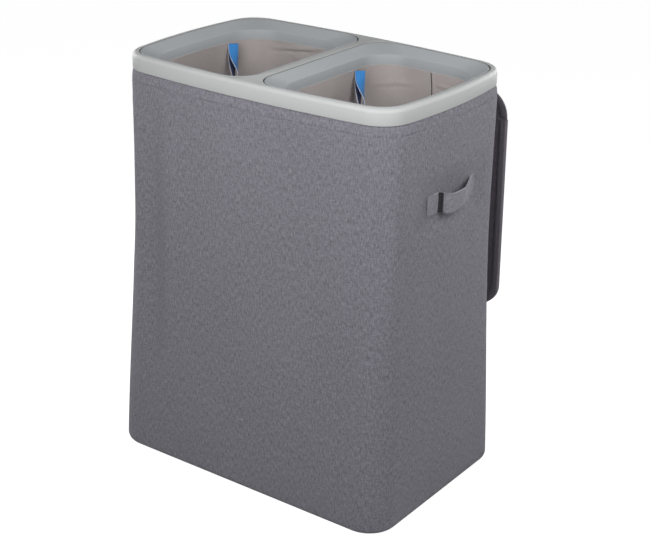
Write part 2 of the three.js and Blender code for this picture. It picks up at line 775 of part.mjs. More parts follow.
function makeLid() {
  const group = hingeGroup(hingeY + stripLength * Math.sin(lidRestTilt),
    hingeZ - stripLength * Math.cos(lidRestTilt));
  const half = lidBoardThickness / 2;
  const clothLow = half + touchGap;
  const clothHigh = clothLow + lidFabricThickness;
  const slotHalf = clothHigh + touchGap;
  const edge = bindingThickness + touchGap;
  const board = slab(panelShape(lidBoardInset, touchGap, lidLength - lidBoardInset, true), -half, half);
  const clothShape = panelShape(edge, touchGap, lidLength - edge, true);
  const slotShape = panelShape(bindingThickness, -cutOverrun, lidLength - bindingThickness, true);
  const windowShape = panelShape(bindingWidth, -cutOverrun, lidLength - bindingWidth, true);
  const binding = slab(panelShape(0, touchGap, lidLength, true), -lidThickness / 2, lidThickness / 2)
    .subtract(slab(slotShape, -slotHalf, slotHalf))
    .subtract(slab(windowShape, -lidThickness, lidThickness));
  addMesh('lid_board', toGeometry(board), materials.board, group);
  addMesh('lid_outer_fabric', toGeometry(slab(clothShape, -clothHigh, -clothLow)), materials.lid, group);
  addMesh('lid_lining_fabric', toGeometry(slab(clothShape, clothLow, clothHigh)), materials.lid, group);
  addMesh('lid_binding', toGeometry(binding), materials.lid, group);
}

makeRim();
makePoles();
makeBaseTray();
makeBottomPanel();
makeCover();
makeHemStrip();
for (const [name, side] of [['left', -1], ['right', 1]]) {
  makeBinFrame(`${name}_bin_frame`, side);
  makeBag(`${name}_bag`, side);
  makeClipRing(`${name}_clip_ring`, side);
  makeStrap(`${name}_pull_strap`, side);
  makeHandle(name, side);
}
makeHingeTape();
makeHingeStrip();
makeLid();

export default hamper;
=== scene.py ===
"""A laundry hamper with two lift-out bins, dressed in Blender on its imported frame."""

import json
import math

import bmesh
import bpy
import numpy as np
from bpy.props import FloatProperty, FloatVectorProperty, PointerProperty
from mathutils import Matrix, Vector, noise


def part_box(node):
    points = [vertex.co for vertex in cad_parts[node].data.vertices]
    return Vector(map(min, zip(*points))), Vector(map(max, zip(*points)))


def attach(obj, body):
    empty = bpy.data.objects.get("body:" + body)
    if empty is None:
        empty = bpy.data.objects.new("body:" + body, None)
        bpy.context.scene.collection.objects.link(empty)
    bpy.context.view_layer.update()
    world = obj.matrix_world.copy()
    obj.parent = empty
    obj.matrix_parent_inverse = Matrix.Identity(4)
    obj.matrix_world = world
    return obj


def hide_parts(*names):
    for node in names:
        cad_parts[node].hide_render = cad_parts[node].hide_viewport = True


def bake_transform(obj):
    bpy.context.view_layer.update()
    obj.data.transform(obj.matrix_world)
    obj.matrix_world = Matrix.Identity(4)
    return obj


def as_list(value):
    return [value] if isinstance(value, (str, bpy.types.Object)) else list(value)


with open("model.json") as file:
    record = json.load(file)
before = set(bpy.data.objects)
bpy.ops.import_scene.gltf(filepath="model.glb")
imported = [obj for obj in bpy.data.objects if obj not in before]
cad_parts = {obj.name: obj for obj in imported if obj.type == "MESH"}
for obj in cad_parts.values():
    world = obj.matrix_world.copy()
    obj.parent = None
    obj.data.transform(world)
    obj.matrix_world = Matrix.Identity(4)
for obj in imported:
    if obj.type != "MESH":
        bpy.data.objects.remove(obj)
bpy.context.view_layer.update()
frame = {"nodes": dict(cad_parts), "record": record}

bl_info = {
    "name": "Laundry Hamper With Two Bins",
    "version": (1, 0, 0),
    "blender": (4, 5, 0),
    "location": "View3D > Sidebar > Hamper",
    "description": "Models the rim, frames, cover, bags, straps, handles and lid of a hamper",
    "category": "Add Mesh",
}

SIDES = (("left", -1), ("right", 1))

# Shapes that the cloth and the mouldings share with the frame: metres, radians and shares
LONG_BOW = 0.0095
END_BOW = 0.008
BOW_LOSS = (LONG_BOW + END_BOW) / 2
CORNER_HANDLE = 0.39
HEM_INSET = 0.0033
COVER_TOP = 0.695
COVER_FLARE = 0.0125
COVER_WAIST = 0.006
WAIST_POWER = math.log(0.5) / math.log(0.38)
BASE_RADIUS = 0.054
BOTTOM_ROUND = 0.012
TURN_UNDER = math.radians(72)
HANDLE_Z = 0.548
LID_TILT = math.radians(2.2)
HINGE_Z = 0.678
HINGE_Y = 0.18732
STRIP_LENGTH = 0.051288
STRIP_CORNER = STRIP_LENGTH * 0.95
LID_CORNER = 0.042
GROOVE = 0.0008

# The gap of a seat or a press fit, and how near points are that are merged, in metres
PRESS_GAP = 0.0003
MERGE = 1e-6

# The camera, fitted to the photograph: in pixels, in degrees, and in metres
PHOTO_WIDTH = 650
FOCAL_PIXELS = 1521.9
CAMERA_TURN, CAMERA_RISE, CAMERA_ROLL = 35.282, 23.226, 1.388
CAMERA_DISTANCE, CAMERA_RIGHT, CAMERA_UP = 2.6687, 0.02803, 0.01477
CAMERA_AIM = (0, 0, 0.32)

# Lamps: (name, place, aim, width, watts)
LAMPS = (
    ("key_light", (0.13, -1.03, 1.14), (0, -0.1, 0.5), 0.8, 10.2),
    ("side_light", (1.04, -0.3, 1.24), (0.1, 0, 0.5), 0.9, 8.8),
    ("back_light", (0.45, 1.3, 0.82), (0, 0.1, 0.42), 0.9, 11),
    ("left_light", (-1.35, 0.1, 0.82), (-0.1, 0, 0.42), 0.9, 9),
)


def paint(code):
    """A colour written as six hexadecimal digits, as Blender's linear values."""
    parts = [int(code[i : i + 2], 16) / 255 for i in (0, 2, 4)]
    return tuple(c / 12.92 if c <= 0.04045 else ((c + 0.055) / 1.055) ** 2.4 for c in parts)


def length(name, default, description):
    return FloatProperty(
        name=name, description=description, default=default, min=0.0, soft_max=1.0,
        precision=4, unit="LENGTH", subtype="DISTANCE",
    )


def colour(name, code, description):
    return FloatVectorProperty(
        name=name, description=description, default=paint(code), min=0.0, max=1.0,
        size=3, subtype="COLOR",
    )


class HamperSizes(bpy.types.PropertyGroup):
    """Sizes of the hamper's mouldings and sewn parts"""

    width: length("Width", 0.56, "Over the rim, at the middle of its bowed ends")
    depth: length("Depth", 0.372, "Over the rim, at the middle of its bowed long sides")
    height: length("Height", 0.725, "From the floor to the rim's top")
    corner_radius: length("Corner radius", 0.053, "Radius of the rim's corners in plan")
    band_height: length("Band height", 0.0265, "Height of the rim's outer band")
    band_round: length("Band rounding", 0.007, "Rounding of the band's top edge")
    lip_width: length("Lip width", 0.01, "Flat lip between the band's face and a pocket")
    crossbar_width: length("Crossbar width", 0.015, "Width of the bar between the two pockets")
    pocket_radius: length("Pocket radius", 0.048, "Radius of a pocket's corners")
    pocket_depth: length("Pocket depth", 0.009, "Depth of a pocket down to its ledge")
    ledge_width: length("Ledge width", 0.004, "Width of the ledge that carries a bin frame")
    flange_width: length("Flange width", 0.022, "Width of a bin frame's sloping flange")
    flange_drop: length("Flange drop", 0.012, "How far the flange falls to the mouth")
    mouth_height: length("Mouth wall", 0.018, "Height of the upright wall round the mouth")
    mouth_radius: length("Mouth radius", 0.058, "Radius of the mouth's corners")
    groove_width: length("Groove width", 0.0023, "Gap between the lip and a bin frame")
    frame_wall: length("Frame wall", 0.0024, "Wall thickness of a bin frame")
    bag_floor: length("Bag floor", 0.042, "Underside of a bag over the floor")
    strap_width: length("Strap width", 0.018, "Width of a pull strap's webbing")
    strap_length: length("Strap length", 0.112, "Length of a pull strap that hangs free")
    handle_height: length("Handle height", 0.034, "Height of a carry handle's band")
    lid_width: length("Lid width", 0.532, "Width of the lid and its hinge strip")
    stitch_pitch: length("Stitch pitch", 0.0042, "Distance from one stitch to the next")


class HamperCloth(bpy.types.PropertyGroup):
    """How deep the folds of the cloth are"""

    cover_puff: length("Cover puff", 0.0036, "How far the cover swells under the band")
    cover_fullness: length("Cover fullness", 0.0055, "How far the cover stands out below the band")
    cover_fold: length("Cover folds", 0.0034, "Depth of the cover's soft upright folds")
    cover_gather: length("Cover gathers", 0.0011, "Depth of the small gathers under the band")
    hem_crease: length("Hem crease", 0.0007, "Depth of the crease along the cover's hem")
    bag_fold: length("Bag folds", 0.006, "Depth of a bag's soft folds")
    bag_wrinkle: length("Bag wrinkles", 0.0024, "Depth of a bag's small wrinkles")


class HamperColours(bpy.types.PropertyGroup):
    """Colours of the hamper's materials"""

    rim: colour("Rim", "b1b3b2", "Satin grey moulding of the rim")
    bin_frame: colour("Bin frames", "9fa3a6", "Satin grey moulding of the bin frames")
    fitting: colour("Fittings", "8c8f92", "Clip rings and stiffening strips")
    tray: colour("Base tray", "77797c", "Moulding of the base")
    steel: colour("Poles", "a9abad", "Coated steel tube")
    cover: colour("Cover", "7e7c85", "Grey melange cloth")
    handle: colour("Handles", "8d8b94", "Grey melange cloth of the carry handles")
    lining: colour("Lining", "b0a8a6", "Smooth lining cloth of the bags")
    webbing: colour("Webbing", "2f86d0", "Blue webbing of the pull straps")
    # Painted shade: navy on the turned-back layer of the webbing, standing in for its shade
    reverse: colour("Webbing reverse", "1d2c55", "Navy back of the webbing")
    selvedge: colour("Selvedge", "d2d2da", "Pale edge threads of the webbing")
    lid: colour("Lid", "625c65", "Dark cloth of the lid")
    binding: colour("Binding", "69646d", "Dark tape round the lid's edge")
    thread: colour("Thread", "85838b", "Sewing thread on the cover")
    dark_thread: colour("Dark thread", "2b292e", "Sewing thread on the lid")
    board: colour("Lid board", "8a6f52", "Fibreboard in the lid")


def sizes():
    return bpy.context.scene.hamper_sizes


def cloth():
    return bpy.context.scene.hamper_cloth


def colours():
    return bpy.context.scene.hamper_colours


def band_low():
    return sizes().height - sizes().band_height


def mouth_top():
    return sizes().height - 0.001 - sizes().flange_drop


def mouth_low():
    return mouth_top() - sizes().mouth_height


def straight_spans():
    """Half the length of a long side and of an end, between the rounded corners."""
    s = sizes()
    corner = s.corner_radius + BOW_LOSS
    return s.width / 2 - corner, s.depth / 2 - corner


def wander(x, y, z):
    return noise.noise(Vector((x, y, z)))


def bell(away, half):
    return math.exp(-((away / half) ** 2))


def ease(share):
    return share * share * (3 - 2 * share)


def clip(value):
    return min(1.0, max(0.0, value))


# Plan outlines: four bowed sides joined by rounded corners, as in the frame


def even(count):
    return np.arange(count) / count


def steps_for(long_side, end_side, corner):
    sides = [even(long_side), even(end_side), even(long_side), even(end_side)]
    return {"sides": sides, "corner": even(corner)}


def towards(start, end):
    return (end - start) / np.linalg.norm(end - start)


def plan_outline(shape, steps):
    """Points round an outline, from the front's left end on to the right."""
    left, right, depth = shape["left"], shape["right"], shape["depth"]
    left_radius, right_radius = shape["left_radius"], shape["right_radius"]
    bulge = shape.get("bulge", 0.0)
    span_x, span_y = straight_spans()
    centre = (left + right) / 2
    reach = (right - left) / 2 - (left_radius + right_radius) / 2
    left_reach, right_reach = depth - left_radius, depth - right_radius

    def swell(share):
        return bulge * (1 - share**2)

    def long_y(x):
        return depth - shape["long_bow"] * (x / span_x) ** 2 + swell((x - centre) / reach)

    def right_x(y):
        return right - shape["right_bow"] * (y / span_y) ** 2 + swell(y / right_reach)

    def left_x(y):
        return left + shape["left_bow"] * (y / span_y) ** 2 - swell(y / left_reach)

    sides = (
        (lambda x: np.array((x, -long_y(x))), left + left_radius, right - right_radius),
        (lambda y: np.array((right_x(y), y)), -right_reach, right_reach),
        (lambda x: np.array((x, long_y(x))), right - right_radius, left + left_radius),
        (lambda y: np.array((left_x(y), y)), left_reach, -left_reach),
    )
    curves = []
    for place, start, end in sides:
        first, last = place(start), place(end)
        curves.append((first, 2 * place((start + end) / 2) - (first + last) / 2, last))
    points = []
    for index, (first, bend, last) in enumerate(curves):
        share = steps["sides"][index][:, None]
        rest = 1 - share
        points.append(rest**2 * first + 2 * share * rest * bend + share**2 * last)
        after, next_bend, _ = curves[(index + 1) % 4]
        handle = np.linalg.norm(after - last) * CORNER_HANDLE
        leave = last + towards(bend, last) * handle
        arrive = after + towards(next_bend, after) * handle
        share = steps["corner"][:, None]
        rest = 1 - share
        points.append(
            rest**3 * last + 3 * share * rest**2 * leave
            + 3 * share**2 * rest * arrive + share**3 * after
        )
    return np.vstack(points)


def at_height(outline, z):
    return np.column_stack([outline, np.full(len(outline), z)])


def rim_ring(inset, z, steps):
    s = sizes()
    radius = s.corner_radius + BOW_LOSS - inset
    shape = {
        "left": inset - s.width / 2, "right": s.width / 2 - inset, "depth": s.depth / 2 - inset,
        "left_radius": radius, "right_radius": radius,
        "long_bow": LONG_BOW, "left_bow": END_BOW, "right_bow": END_BOW,
    }
    return at_height(plan_outline(shape, steps), z)


def bin_ring(side, inset, radius, z, steps, bulge=0.0):
    """A bin's outline follows the rim on three sides and runs straight along the crossbar."""
    s = sizes()
    inner = s.crossbar_width / 2 + inset - s.lip_width
    outer = s.width / 2 - inset
    right = side > 0
    shape = {
        "left": inner if right else -outer, "right": outer if right else -inner,
        "depth": s.depth / 2 - inset,
        "left_radius": radius if right else radius + BOW_LOSS,
        "right_radius": radius + BOW_LOSS if right else radius,
        "long_bow": LONG_BOW, "left_bow": 0.0 if right else END_BOW,
        "right_bow": END_BOW if right else 0.0, "bulge": bulge,
    }
    return at_height(plan_outline(shape, steps), z)


def cover_shape(inset, z):
    s = sizes()
    drop = max(0.0, COVER_TOP - z) / COVER_TOP
    waist = COVER_WAIST * math.sin(math.pi * drop**WAIST_POWER) ** 2
    taken = HEM_INSET + inset + waist - COVER_FLARE * drop
    top_radius = s.corner_radius + BOW_LOSS - HEM_INSET
    radius = top_radius + (BASE_RADIUS - top_radius) * drop - inset
    return {
        "left": taken - s.width / 2, "right": s.width / 2 - taken, "depth": s.depth / 2 - taken,
        "left_radius": radius, "right_radius": radius,
        "long_bow": LONG_BOW * (1 - drop), "left_bow": END_BOW * (1 - drop),
        "right_bow": END_BOW * (1 - drop),
    }


def cover_ring(inset, z, steps):
    return at_height(plan_outline(cover_shape(inset, z), steps), z)


# Modelling helpers


def deselect():
    if bpy.context.mode != "OBJECT":
        bpy.ops.object.mode_set(mode="OBJECT")
    bpy.ops.object.select_all(action="DESELECT")


def pick(obj):
    deselect()
    obj.select_set(True)
    bpy.context.view_layer.objects.active = obj


def named(name):
    obj = bpy.context.object
    obj.name = name
    obj.data.name = name
    return obj


def edit(obj, mode="VERT"):
    pick(obj)
    bpy.ops.object.mode_set(mode="EDIT")
    bpy.ops.mesh.select_mode(type=mode)
    bpy.ops.mesh.select_all(action="SELECT")


def close_edit():
    bpy.ops.object.mode_set(mode="OBJECT")


def put_points(obj, points):
    obj.data.vertices.foreach_set("co", np.asarray(points, dtype=np.float32).ravel())
    obj.data.update()


def modify(obj, kind, **settings):
    """Adds a modifier and applies it."""
    pick(obj)
    modifier = obj.modifiers.new(kind.title(), kind)
    for key, value in settings.items():
        setattr(modifier, key, value)
    bpy.ops.object.modifier_apply(modifier=modifier.name)


def thicken(obj, thickness, offset=0):
    modify(obj, "SOLIDIFY", thickness=thickness, offset=offset, use_even_offset=True)


def soften(obj, width, segments=2, angle=50, **settings):
    """Bevels the edges that turn by more than an angle."""
    turn = math.radians(angle)
    modify(obj, "BEVEL", width=width, segments=segments, limit_method="ANGLE", angle_limit=turn,
           **settings)


def choose(obj, kind, test):
    """In edit mode, selects the edges or faces that pass a test."""
    mesh = bmesh.from_edit_mesh(obj.data)
    for element in getattr(mesh, kind):
        element.select = test(element)
    bmesh.update_edit_mesh(obj.data)


def face_outward(obj):
    edit(obj)
    bpy.ops.mesh.normals_make_consistent(inside=False)
    close_edit()


def combine(obj, other, operation):
    modify(obj, "BOOLEAN", object=other, operation=operation, solver="EXACT")
    bpy.data.objects.remove(other, do_unlink=True)


def plate(name, ring, high):
    """A filled circle moved on to an outline, and extruded up to a height."""
    deselect()
    bpy.ops.mesh.primitive_circle_add(vertices=len(ring), radius=0.2, fill_type="NGON")
    obj = named(name)
    put_points(obj, ring)
    edit(obj, "FACE")
    rise = (0, 0, high - ring[0][2])
    bpy.ops.mesh.extrude_region_move(TRANSFORM_OT_translate={"value": rise})
    face_outward(obj)
    return obj


def swept_ring(name, rings):
    """A circle moved on to an outline, then extruded from ring to ring and back to the first."""
    deselect()
    bpy.ops.mesh.primitive_circle_add(vertices=len(rings[0]), radius=0.2, fill_type="NOTHING")
    obj = named(name)
    put_points(obj, rings[0])
    edit(obj)
    order = list(range(len(rings[0])))
    for points in rings[1:] + rings[:1]:
        bpy.ops.mesh.extrude_region_move()
        mesh = bmesh.from_edit_mesh(obj.data)
        mesh.verts.index_update()
        mesh.verts.ensure_lookup_table()
        order = [
            next(
                edge.other_vert(mesh.verts[i]).index
                for edge in mesh.verts[i].link_edges
                if edge.other_vert(mesh.verts[i]).select
            )
            for i in order
        ]
        for index, point in zip(order, points):
            mesh.verts[index].co = point
        bmesh.update_edit_mesh(obj.data)
    bpy.ops.mesh.select_all(action="SELECT")
    bpy.ops.mesh.remove_doubles(threshold=MERGE)
    bpy.ops.mesh.normals_make_consistent(inside=False)
    close_edit()
    return obj


def sheet_grid(name, table, uv):
    """A grid whose points are moved on to the cloth's own rows, with its UV map in metres."""
    rows, columns = len(table), len(table[0])
    deselect()
    bpy.ops.mesh.primitive_grid_add(
        x_subdivisions=columns - 1, y_subdivisions=rows - 1, size=1, calc_uvs=True
    )
    obj = named(name)
    mesh = obj.data
    flat = np.empty(len(mesh.vertices) * 3, dtype=np.float32)
    mesh.vertices.foreach_get("co", flat)
    flat = flat.reshape(-1, 3)
    column = np.rint((flat[:, 0] + 0.5) * (columns - 1)).astype(int)
    row = np.rint((flat[:, 1] + 0.5) * (rows - 1)).astype(int)
    corner = np.empty(len(mesh.loops), dtype=np.int32)
    mesh.loops.foreach_get("vertex_index", corner)
    places = np.asarray(uv, dtype=np.float32)[row, column][corner]
    mesh.uv_layers.active.data.foreach_set("uv", places.ravel())
    put_points(obj, np.asarray(table)[row, column])
    edit(obj)
    bpy.ops.mesh.remove_doubles(threshold=MERGE)
    close_edit()
    return obj


def run_lengths(points):
    """Distance along a row of points."""
    points = np.asarray(points)
    return np.concatenate([[0], np.cumsum(np.linalg.norm(np.diff(points, axis=0), axis=1))])


def around(rings):
    """Rings as rows that close on themselves, and their UVs in metres."""
    table = np.stack([np.vstack([ring, ring[:1]]) for ring in rings])
    middle = table[len(table) // 2]
    across = run_lengths(middle)
    down = run_lengths(table[:, 0])
    uv = np.stack(
        [np.tile(across, (len(table), 1)), np.tile(down[:, None], (1, len(across)))], axis=2
    )
    return table, uv


def sew(name, anchors, radius, length):
    """One stitch, modelled once and copied along its anchors: (place, direction, face)."""
    deselect()
    bpy.ops.mesh.primitive_cylinder_add(vertices=6, radius=radius, depth=length * 0.6)
    obj = named(name)
    edit(obj, "FACE")
    choose(obj, "faces", lambda face: abs(face.normal.z) > 0.9)
    bpy.ops.mesh.extrude_region_shrink_fatten(
        TRANSFORM_OT_shrink_fatten={"value": length * 0.2}
    )
    bpy.ops.transform.resize(value=(0.4, 0.4, 1), center_override=(0, 0, 0))
    close_edit()
    model = np.array([vertex.co for vertex in obj.data.vertices])
    faces = [list(polygon.vertices) for polygon in obj.data.polygons]
    points, polygons = [], []
    for place, direction, face in anchors:
        z = Vector(direction).normalized()
        x = z.cross(Vector(face)).normalized()
        turn = np.array(Matrix((x, z.cross(x), z)))
        base = len(points) * len(model)
        points.append(model @ turn + np.array(place))
        polygons += [[base + i for i in polygon] for polygon in faces]
    mesh = bpy.data.meshes.new(name)
    mesh.from_pydata(np.vstack(points).tolist(), [], polygons)
    obj.data = mesh
    return obj


def spaced(points, pitch):
    """Places and directions a pitch apart along a row of points."""
    points = np.asarray(points)
    along = run_lengths(points)
    at = np.arange(pitch / 2, along[-1], pitch)

    def at_distance(distance):
        return np.stack([np.interp(distance, along, points[:, k]) for k in range(3)], axis=1)

    return at_distance(at), at_distance(at + pitch / 4) - at_distance(at - pitch / 4)


def stitch_row(row, pitch, face):
    """Anchors a pitch apart along a row of points, all facing one way."""
    return [(place, direction, face) for place, direction in zip(*spaced(row, pitch))]


def finish_piece(obj, material, body, slot, *replaced, smooth=38):
    pick(obj)
    bpy.ops.object.shade_smooth_by_angle(angle=math.radians(smooth))
    obj.data.materials.clear()
    obj.data.materials.append(material)
    if isinstance(body, str):
        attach(obj, body)
    else:
        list(body)
        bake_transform(obj)
    if replaced:
        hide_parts(*replaced)
    return obj


def repaint(node, material):
    """A better material on a node of the frame."""
    for slot in frame["nodes"][node].material_slots:
        slot.material = material


# Node-making helpers


def add(tree, kind, inputs=None, **settings):
    made = tree.nodes.new(kind)
    for key, value in settings.items():
        setattr(made, key, value)
    for key, value in (inputs or {}).items():
        if isinstance(value, bpy.types.NodeSocket):
            tree.links.new(value, made.inputs[key])
        else:
            made.inputs[key].default_value = value
    return made


def sums(tree, operation, *values, clamp=False):
    inputs = dict(enumerate(values))
    return add(tree, "ShaderNodeMath", inputs, operation=operation, use_clamp=clamp).outputs[0]


def blend_colour(tree, factor, first, second, mode="MIX"):
    made = add(
        tree, "ShaderNodeMix", {0: factor, 6: first, 7: second}, data_type="RGBA", blend_type=mode
    )
    return made.outputs[2]


def remap(tree, value, low, high, to_low, to_high):
    inputs = {0: value, 1: low, 2: high, 3: to_low, 4: to_high}
    return add(tree, "ShaderNodeMapRange", inputs, interpolation_type="SMOOTHSTEP").outputs[0]


def stretched_noise(tree, vector, scale, detail=2.0, roughness=0.5):
    """Noise on coordinates that are stretched by a scale for each axis."""
    scaled = add(tree, "ShaderNodeVectorMath", {0: vector, 1: scale}, operation="MULTIPLY")
    inputs = {"Vector": scaled.outputs[0], "Scale": 1.0, "Detail": detail, "Roughness": roughness}
    return add(tree, "ShaderNodeTexNoise", inputs).outputs[0]


def new_group(name, inputs, outputs):
    """A node group with its inputs' defaults; an input without one is a vector."""
    group = bpy.data.node_groups.new(name, "ShaderNodeTree")
    for label, default in inputs.items():
        kind = "NodeSocketVector" if default is None else "NodeSocketFloat"
        socket = group.interface.new_socket(name=label, in_out="INPUT", socket_type=kind)
        if default is not None:
            socket.default_value = default
    for label in outputs:
        group.interface.new_socket(name=label, in_out="OUTPUT", socket_type="NodeSocketFloat")
    return group, group.nodes.new("NodeGroupInput").outputs, group.nodes.new("NodeGroupOutput")


def use_group(tree, name, inputs):
    return add(tree, "ShaderNodeGroup", inputs, node_tree=bpy.data.node_groups[name]).outputs


def coordinates(tree, kind):
    return add(tree, "ShaderNodeTexCoord").outputs[kind]


def split_axes(tree, vector):
    return add(tree, "ShaderNodeSeparateXYZ", {0: vector}).outputs


# Streaks of lighter and darker yarn, one of them level: (scale, detail, roughness, weight)
YARN_NOISES = (
    ((420, 120, 1), 2, 0.6, 1.05),
    ((640, 85, 1), 3, 0.6, 1.3),
    ((110, 430, 1), 3, 0.55, 0.9),
    ((1500, 210, 1), 2, 0.6, 0.9),
)


def make_yarn_group():
    """Plain weave: how light each yarn is, and how high it stands."""
    inputs = {"Vector": None, "Pitch": 0.0006, "Slub": 1.0}
    group, given, put = new_group("Woven yarn", inputs, ("Tone", "Height"))
    mix = 0.0
    for scale, detail, roughness, weight in YARN_NOISES:
        pattern = stretched_noise(group, given["Vector"], scale, detail, roughness)
        mix = sums(group, "MULTIPLY_ADD", sums(group, "SUBTRACT", pattern, 0.5), weight, mix)
    tone = sums(group, "MULTIPLY", mix, given["Slub"])
    split = split_axes(group, given["Vector"])
    waves = []
    for axis in (0, 1):
        turn = sums(group, "DIVIDE", sums(group, "MULTIPLY", split[axis], math.pi), given["Pitch"])
        waves.append(sums(group, "SINE", turn))
    crossing = sums(group, "MULTIPLY", waves[0], waves[1])
    over = remap(group, crossing, -0.25, 0.25, 0.0, 1.0)
    warp = sums(group, "ABSOLUTE", waves[0])
    weft = sums(group, "ABSOLUTE", waves[1])
    height = add(group, "ShaderNodeMix", {0: over, 2: warp, 3: weft}, data_type="FLOAT")
    group.links.new(tone, put.inputs["Tone"])
    group.links.new(height.outputs[0], put.inputs["Height"])


def make_grain_group():
    """Moulded plastic: a fine spark-eroded grain, flow marks and rubbed places."""
    inputs = {"Vector": None, "Size": 0.0007}
    group, given, put = new_group("Moulded grain", inputs, ("Height", "Flow", "Rub"))
    density = sums(group, "DIVIDE", 1.0, given["Size"])
    inputs = {"Vector": given["Vector"], "Scale": density, "Detail": 2.0, "Roughness": 0.6}
    grain = add(group, "ShaderNodeTexNoise", inputs).outputs[0]
    flow = stretched_noise(group, given["Vector"], (11, 11, 34), 2, 0.5)
    rub = stretched_noise(group, given["Vector"], (55, 55, 160), 4, 0.65)
    group.links.new(grain, put.inputs["Height"])
    group.links.new(flow, put.inputs["Flow"])
    group.links.new(remap(group, rub, 0.56, 0.72, 0.0, 1.0), put.inputs["Rub"])


def make_rib_group():
    """Webbing: slanting ribs across the band, and a mask for its edge threads."""
    inputs = {"Vector": None, "Width": 0.018, "Edge": 0.0012}
    group, given, put = new_group("Webbing ribs", inputs, ("Height", "Selvedge", "Tone"))
    across, down, _ = split_axes(group, given["Vector"])
    from_middle = sums(group, "ABSOLUTE", across)
    folded = sums(group, "PINGPONG", from_middle, 0.0022)
    slant = sums(group, "MULTIPLY_ADD", folded, 1400.0, sums(group, "MULTIPLY", down, 3300.0))
    ribs = sums(group, "SINE", slant)
    cords = sums(group, "SINE", sums(group, "MULTIPLY", across, 2 * math.pi / 0.0011))
    height = sums(group, "MULTIPLY_ADD", ribs, 0.5, sums(group, "MULTIPLY", cords, 0.35))
    half = sums(group, "DIVIDE", given["Width"], 2.0)
    edge = sums(group, "SUBTRACT", half, given["Edge"])
    near = sums(group, "SUBTRACT", from_middle, edge)
    mask = remap(group, near, -0.0002, 0.0002, 0.0, 1.0)
    tone = stretched_noise(group, given["Vector"], (900, 240, 1), 2, 0.6)
    group.links.new(height, put.inputs["Height"])
    group.links.new(mask, put.inputs["Selvedge"])
    group.links.new(sums(group, "SUBTRACT", tone, 0.5), put.inputs["Tone"])


def new_material(name):
    material = bpy.data.materials.new(name)
    material.use_nodes = True
    tree = material.node_tree
    tree.nodes.clear()
    shader = add(tree, "ShaderNodeBsdfPrincipled")
    result = add(tree, "ShaderNodeOutputMaterial")
    tree.links.new(shader.outputs[0], result.inputs["Surface"])
    return material, tree, shader


def shade_of(value, factor):
    return tuple(min(1.0, c * factor) for c in value) + (1.0,)


def dress(tree, shader, base, roughness, height, distance):
    """Links a colour, a roughness and a relief to a shader."""
    tree.links.new(base, shader.inputs["Base Color"])
    tree.links.new(roughness, shader.inputs["Roughness"])
    bump = add(tree, "ShaderNodeBump", {"Height": height, "Distance": distance, "Strength": 1.0})
    tree.links.new(bump.outputs[0], shader.inputs["Normal"])


def woven_material(name, value, pitch, slub, contrast, bump, roughness=0.92, sheen=0.12):
    """Woven cloth on the piece's UV map, in metres."""
    material, tree, shader = new_material(name)
    place = coordinates(tree, "UV")
    yarn = use_group(tree, "Woven yarn", {"Vector": place, "Pitch": pitch, "Slub": slub})
    cloud = stretched_noise(tree, place, (7, 5, 1), 3, 0.5)
    tone = sums(tree, "MULTIPLY_ADD", sums(tree, "SUBTRACT", cloud, 0.5), 0.14, yarn["Tone"])
    tone = sums(tree, "ADD", tone, 0.5, clamp=True)
    low, high = shade_of(value, 1 - contrast), shade_of(value, 1 + contrast)
    base = blend_colour(tree, tone, low, high)
    # Painted shade: the low places between the yarns are darkened.
    valley = remap(tree, yarn["Height"], 0.0, 0.55, 0.78, 1.0)
    shade = add(tree, "ShaderNodeCombineColor", {0: valley, 1: valley, 2: valley}).outputs[0]
    base = blend_colour(tree, 1.0, base, shade, "MULTIPLY")
    rough = remap(tree, tone, 0.0, 1.0, roughness - 0.06, roughness + 0.05)
    shader.inputs["Specular IOR Level"].default_value = 0.25
    shader.inputs["Sheen Weight"].default_value = sheen
    shader.inputs["Sheen Roughness"].default_value = 0.55
    height = sums(tree, "MULTIPLY_ADD", yarn["Tone"], 0.5, yarn["Height"])
    dress(tree, shader, base, rough, height, bump)
    return material


def moulded_material(name, value, size, bump, roughness, rub_and_shade_height=None):
    """Satin moulded plastic on Object coordinates, rubbed lighter along a height, with painted shade in
    a dark line on upright faces just under that height.
    """
    material, tree, shader = new_material(name)
    place = coordinates(tree, "Object")
    grain = use_group(tree, "Moulded grain", {"Vector": place, "Size": size})
    base = blend_colour(tree, grain["Flow"], shade_of(value, 0.965), shade_of(value, 1.035))
    rub = sums(tree, "MULTIPLY", grain["Rub"], 0.35)
    if rub_and_shade_height:
        z = split_axes(tree, place)[2]
        near = remap(tree, z, rub_and_shade_height - 0.006, rub_and_shade_height, 0.25, 1.0)
        rub = sums(tree, "MULTIPLY", grain["Rub"], near)
        # Painted shade: upright faces a few millimetres under the top are darkened, drawing the shadow
        # in the gap between the rim's lip and a bin frame.
        level = split_axes(tree, coordinates(tree, "Normal"))[2]
        upright = remap(tree, level, 0.1, 0.35, 1.0, 0.0)
        top_edge = remap(tree, z, rub_and_shade_height - 0.0045, rub_and_shade_height - 0.002, 0.0, 1.0)
        painted_groove_shade = sums(tree, "MULTIPLY", upright, top_edge)
        base = blend_colour(tree, painted_groove_shade, base, shade_of(value, 0.22))
    base = blend_colour(tree, sums(tree, "MULTIPLY", rub, 0.16), base, shade_of(value, 1.25))
    rough = sums(tree, "MULTIPLY_ADD", rub, -0.1, roughness)
    rough = sums(tree, "MULTIPLY_ADD", sums(tree, "SUBTRACT", grain["Flow"], 0.5), 0.12, rough)
    shader.inputs["Specular IOR Level"].default_value = 0.42
    dress(tree, shader, base, rough, grain["Height"], bump)
    return material


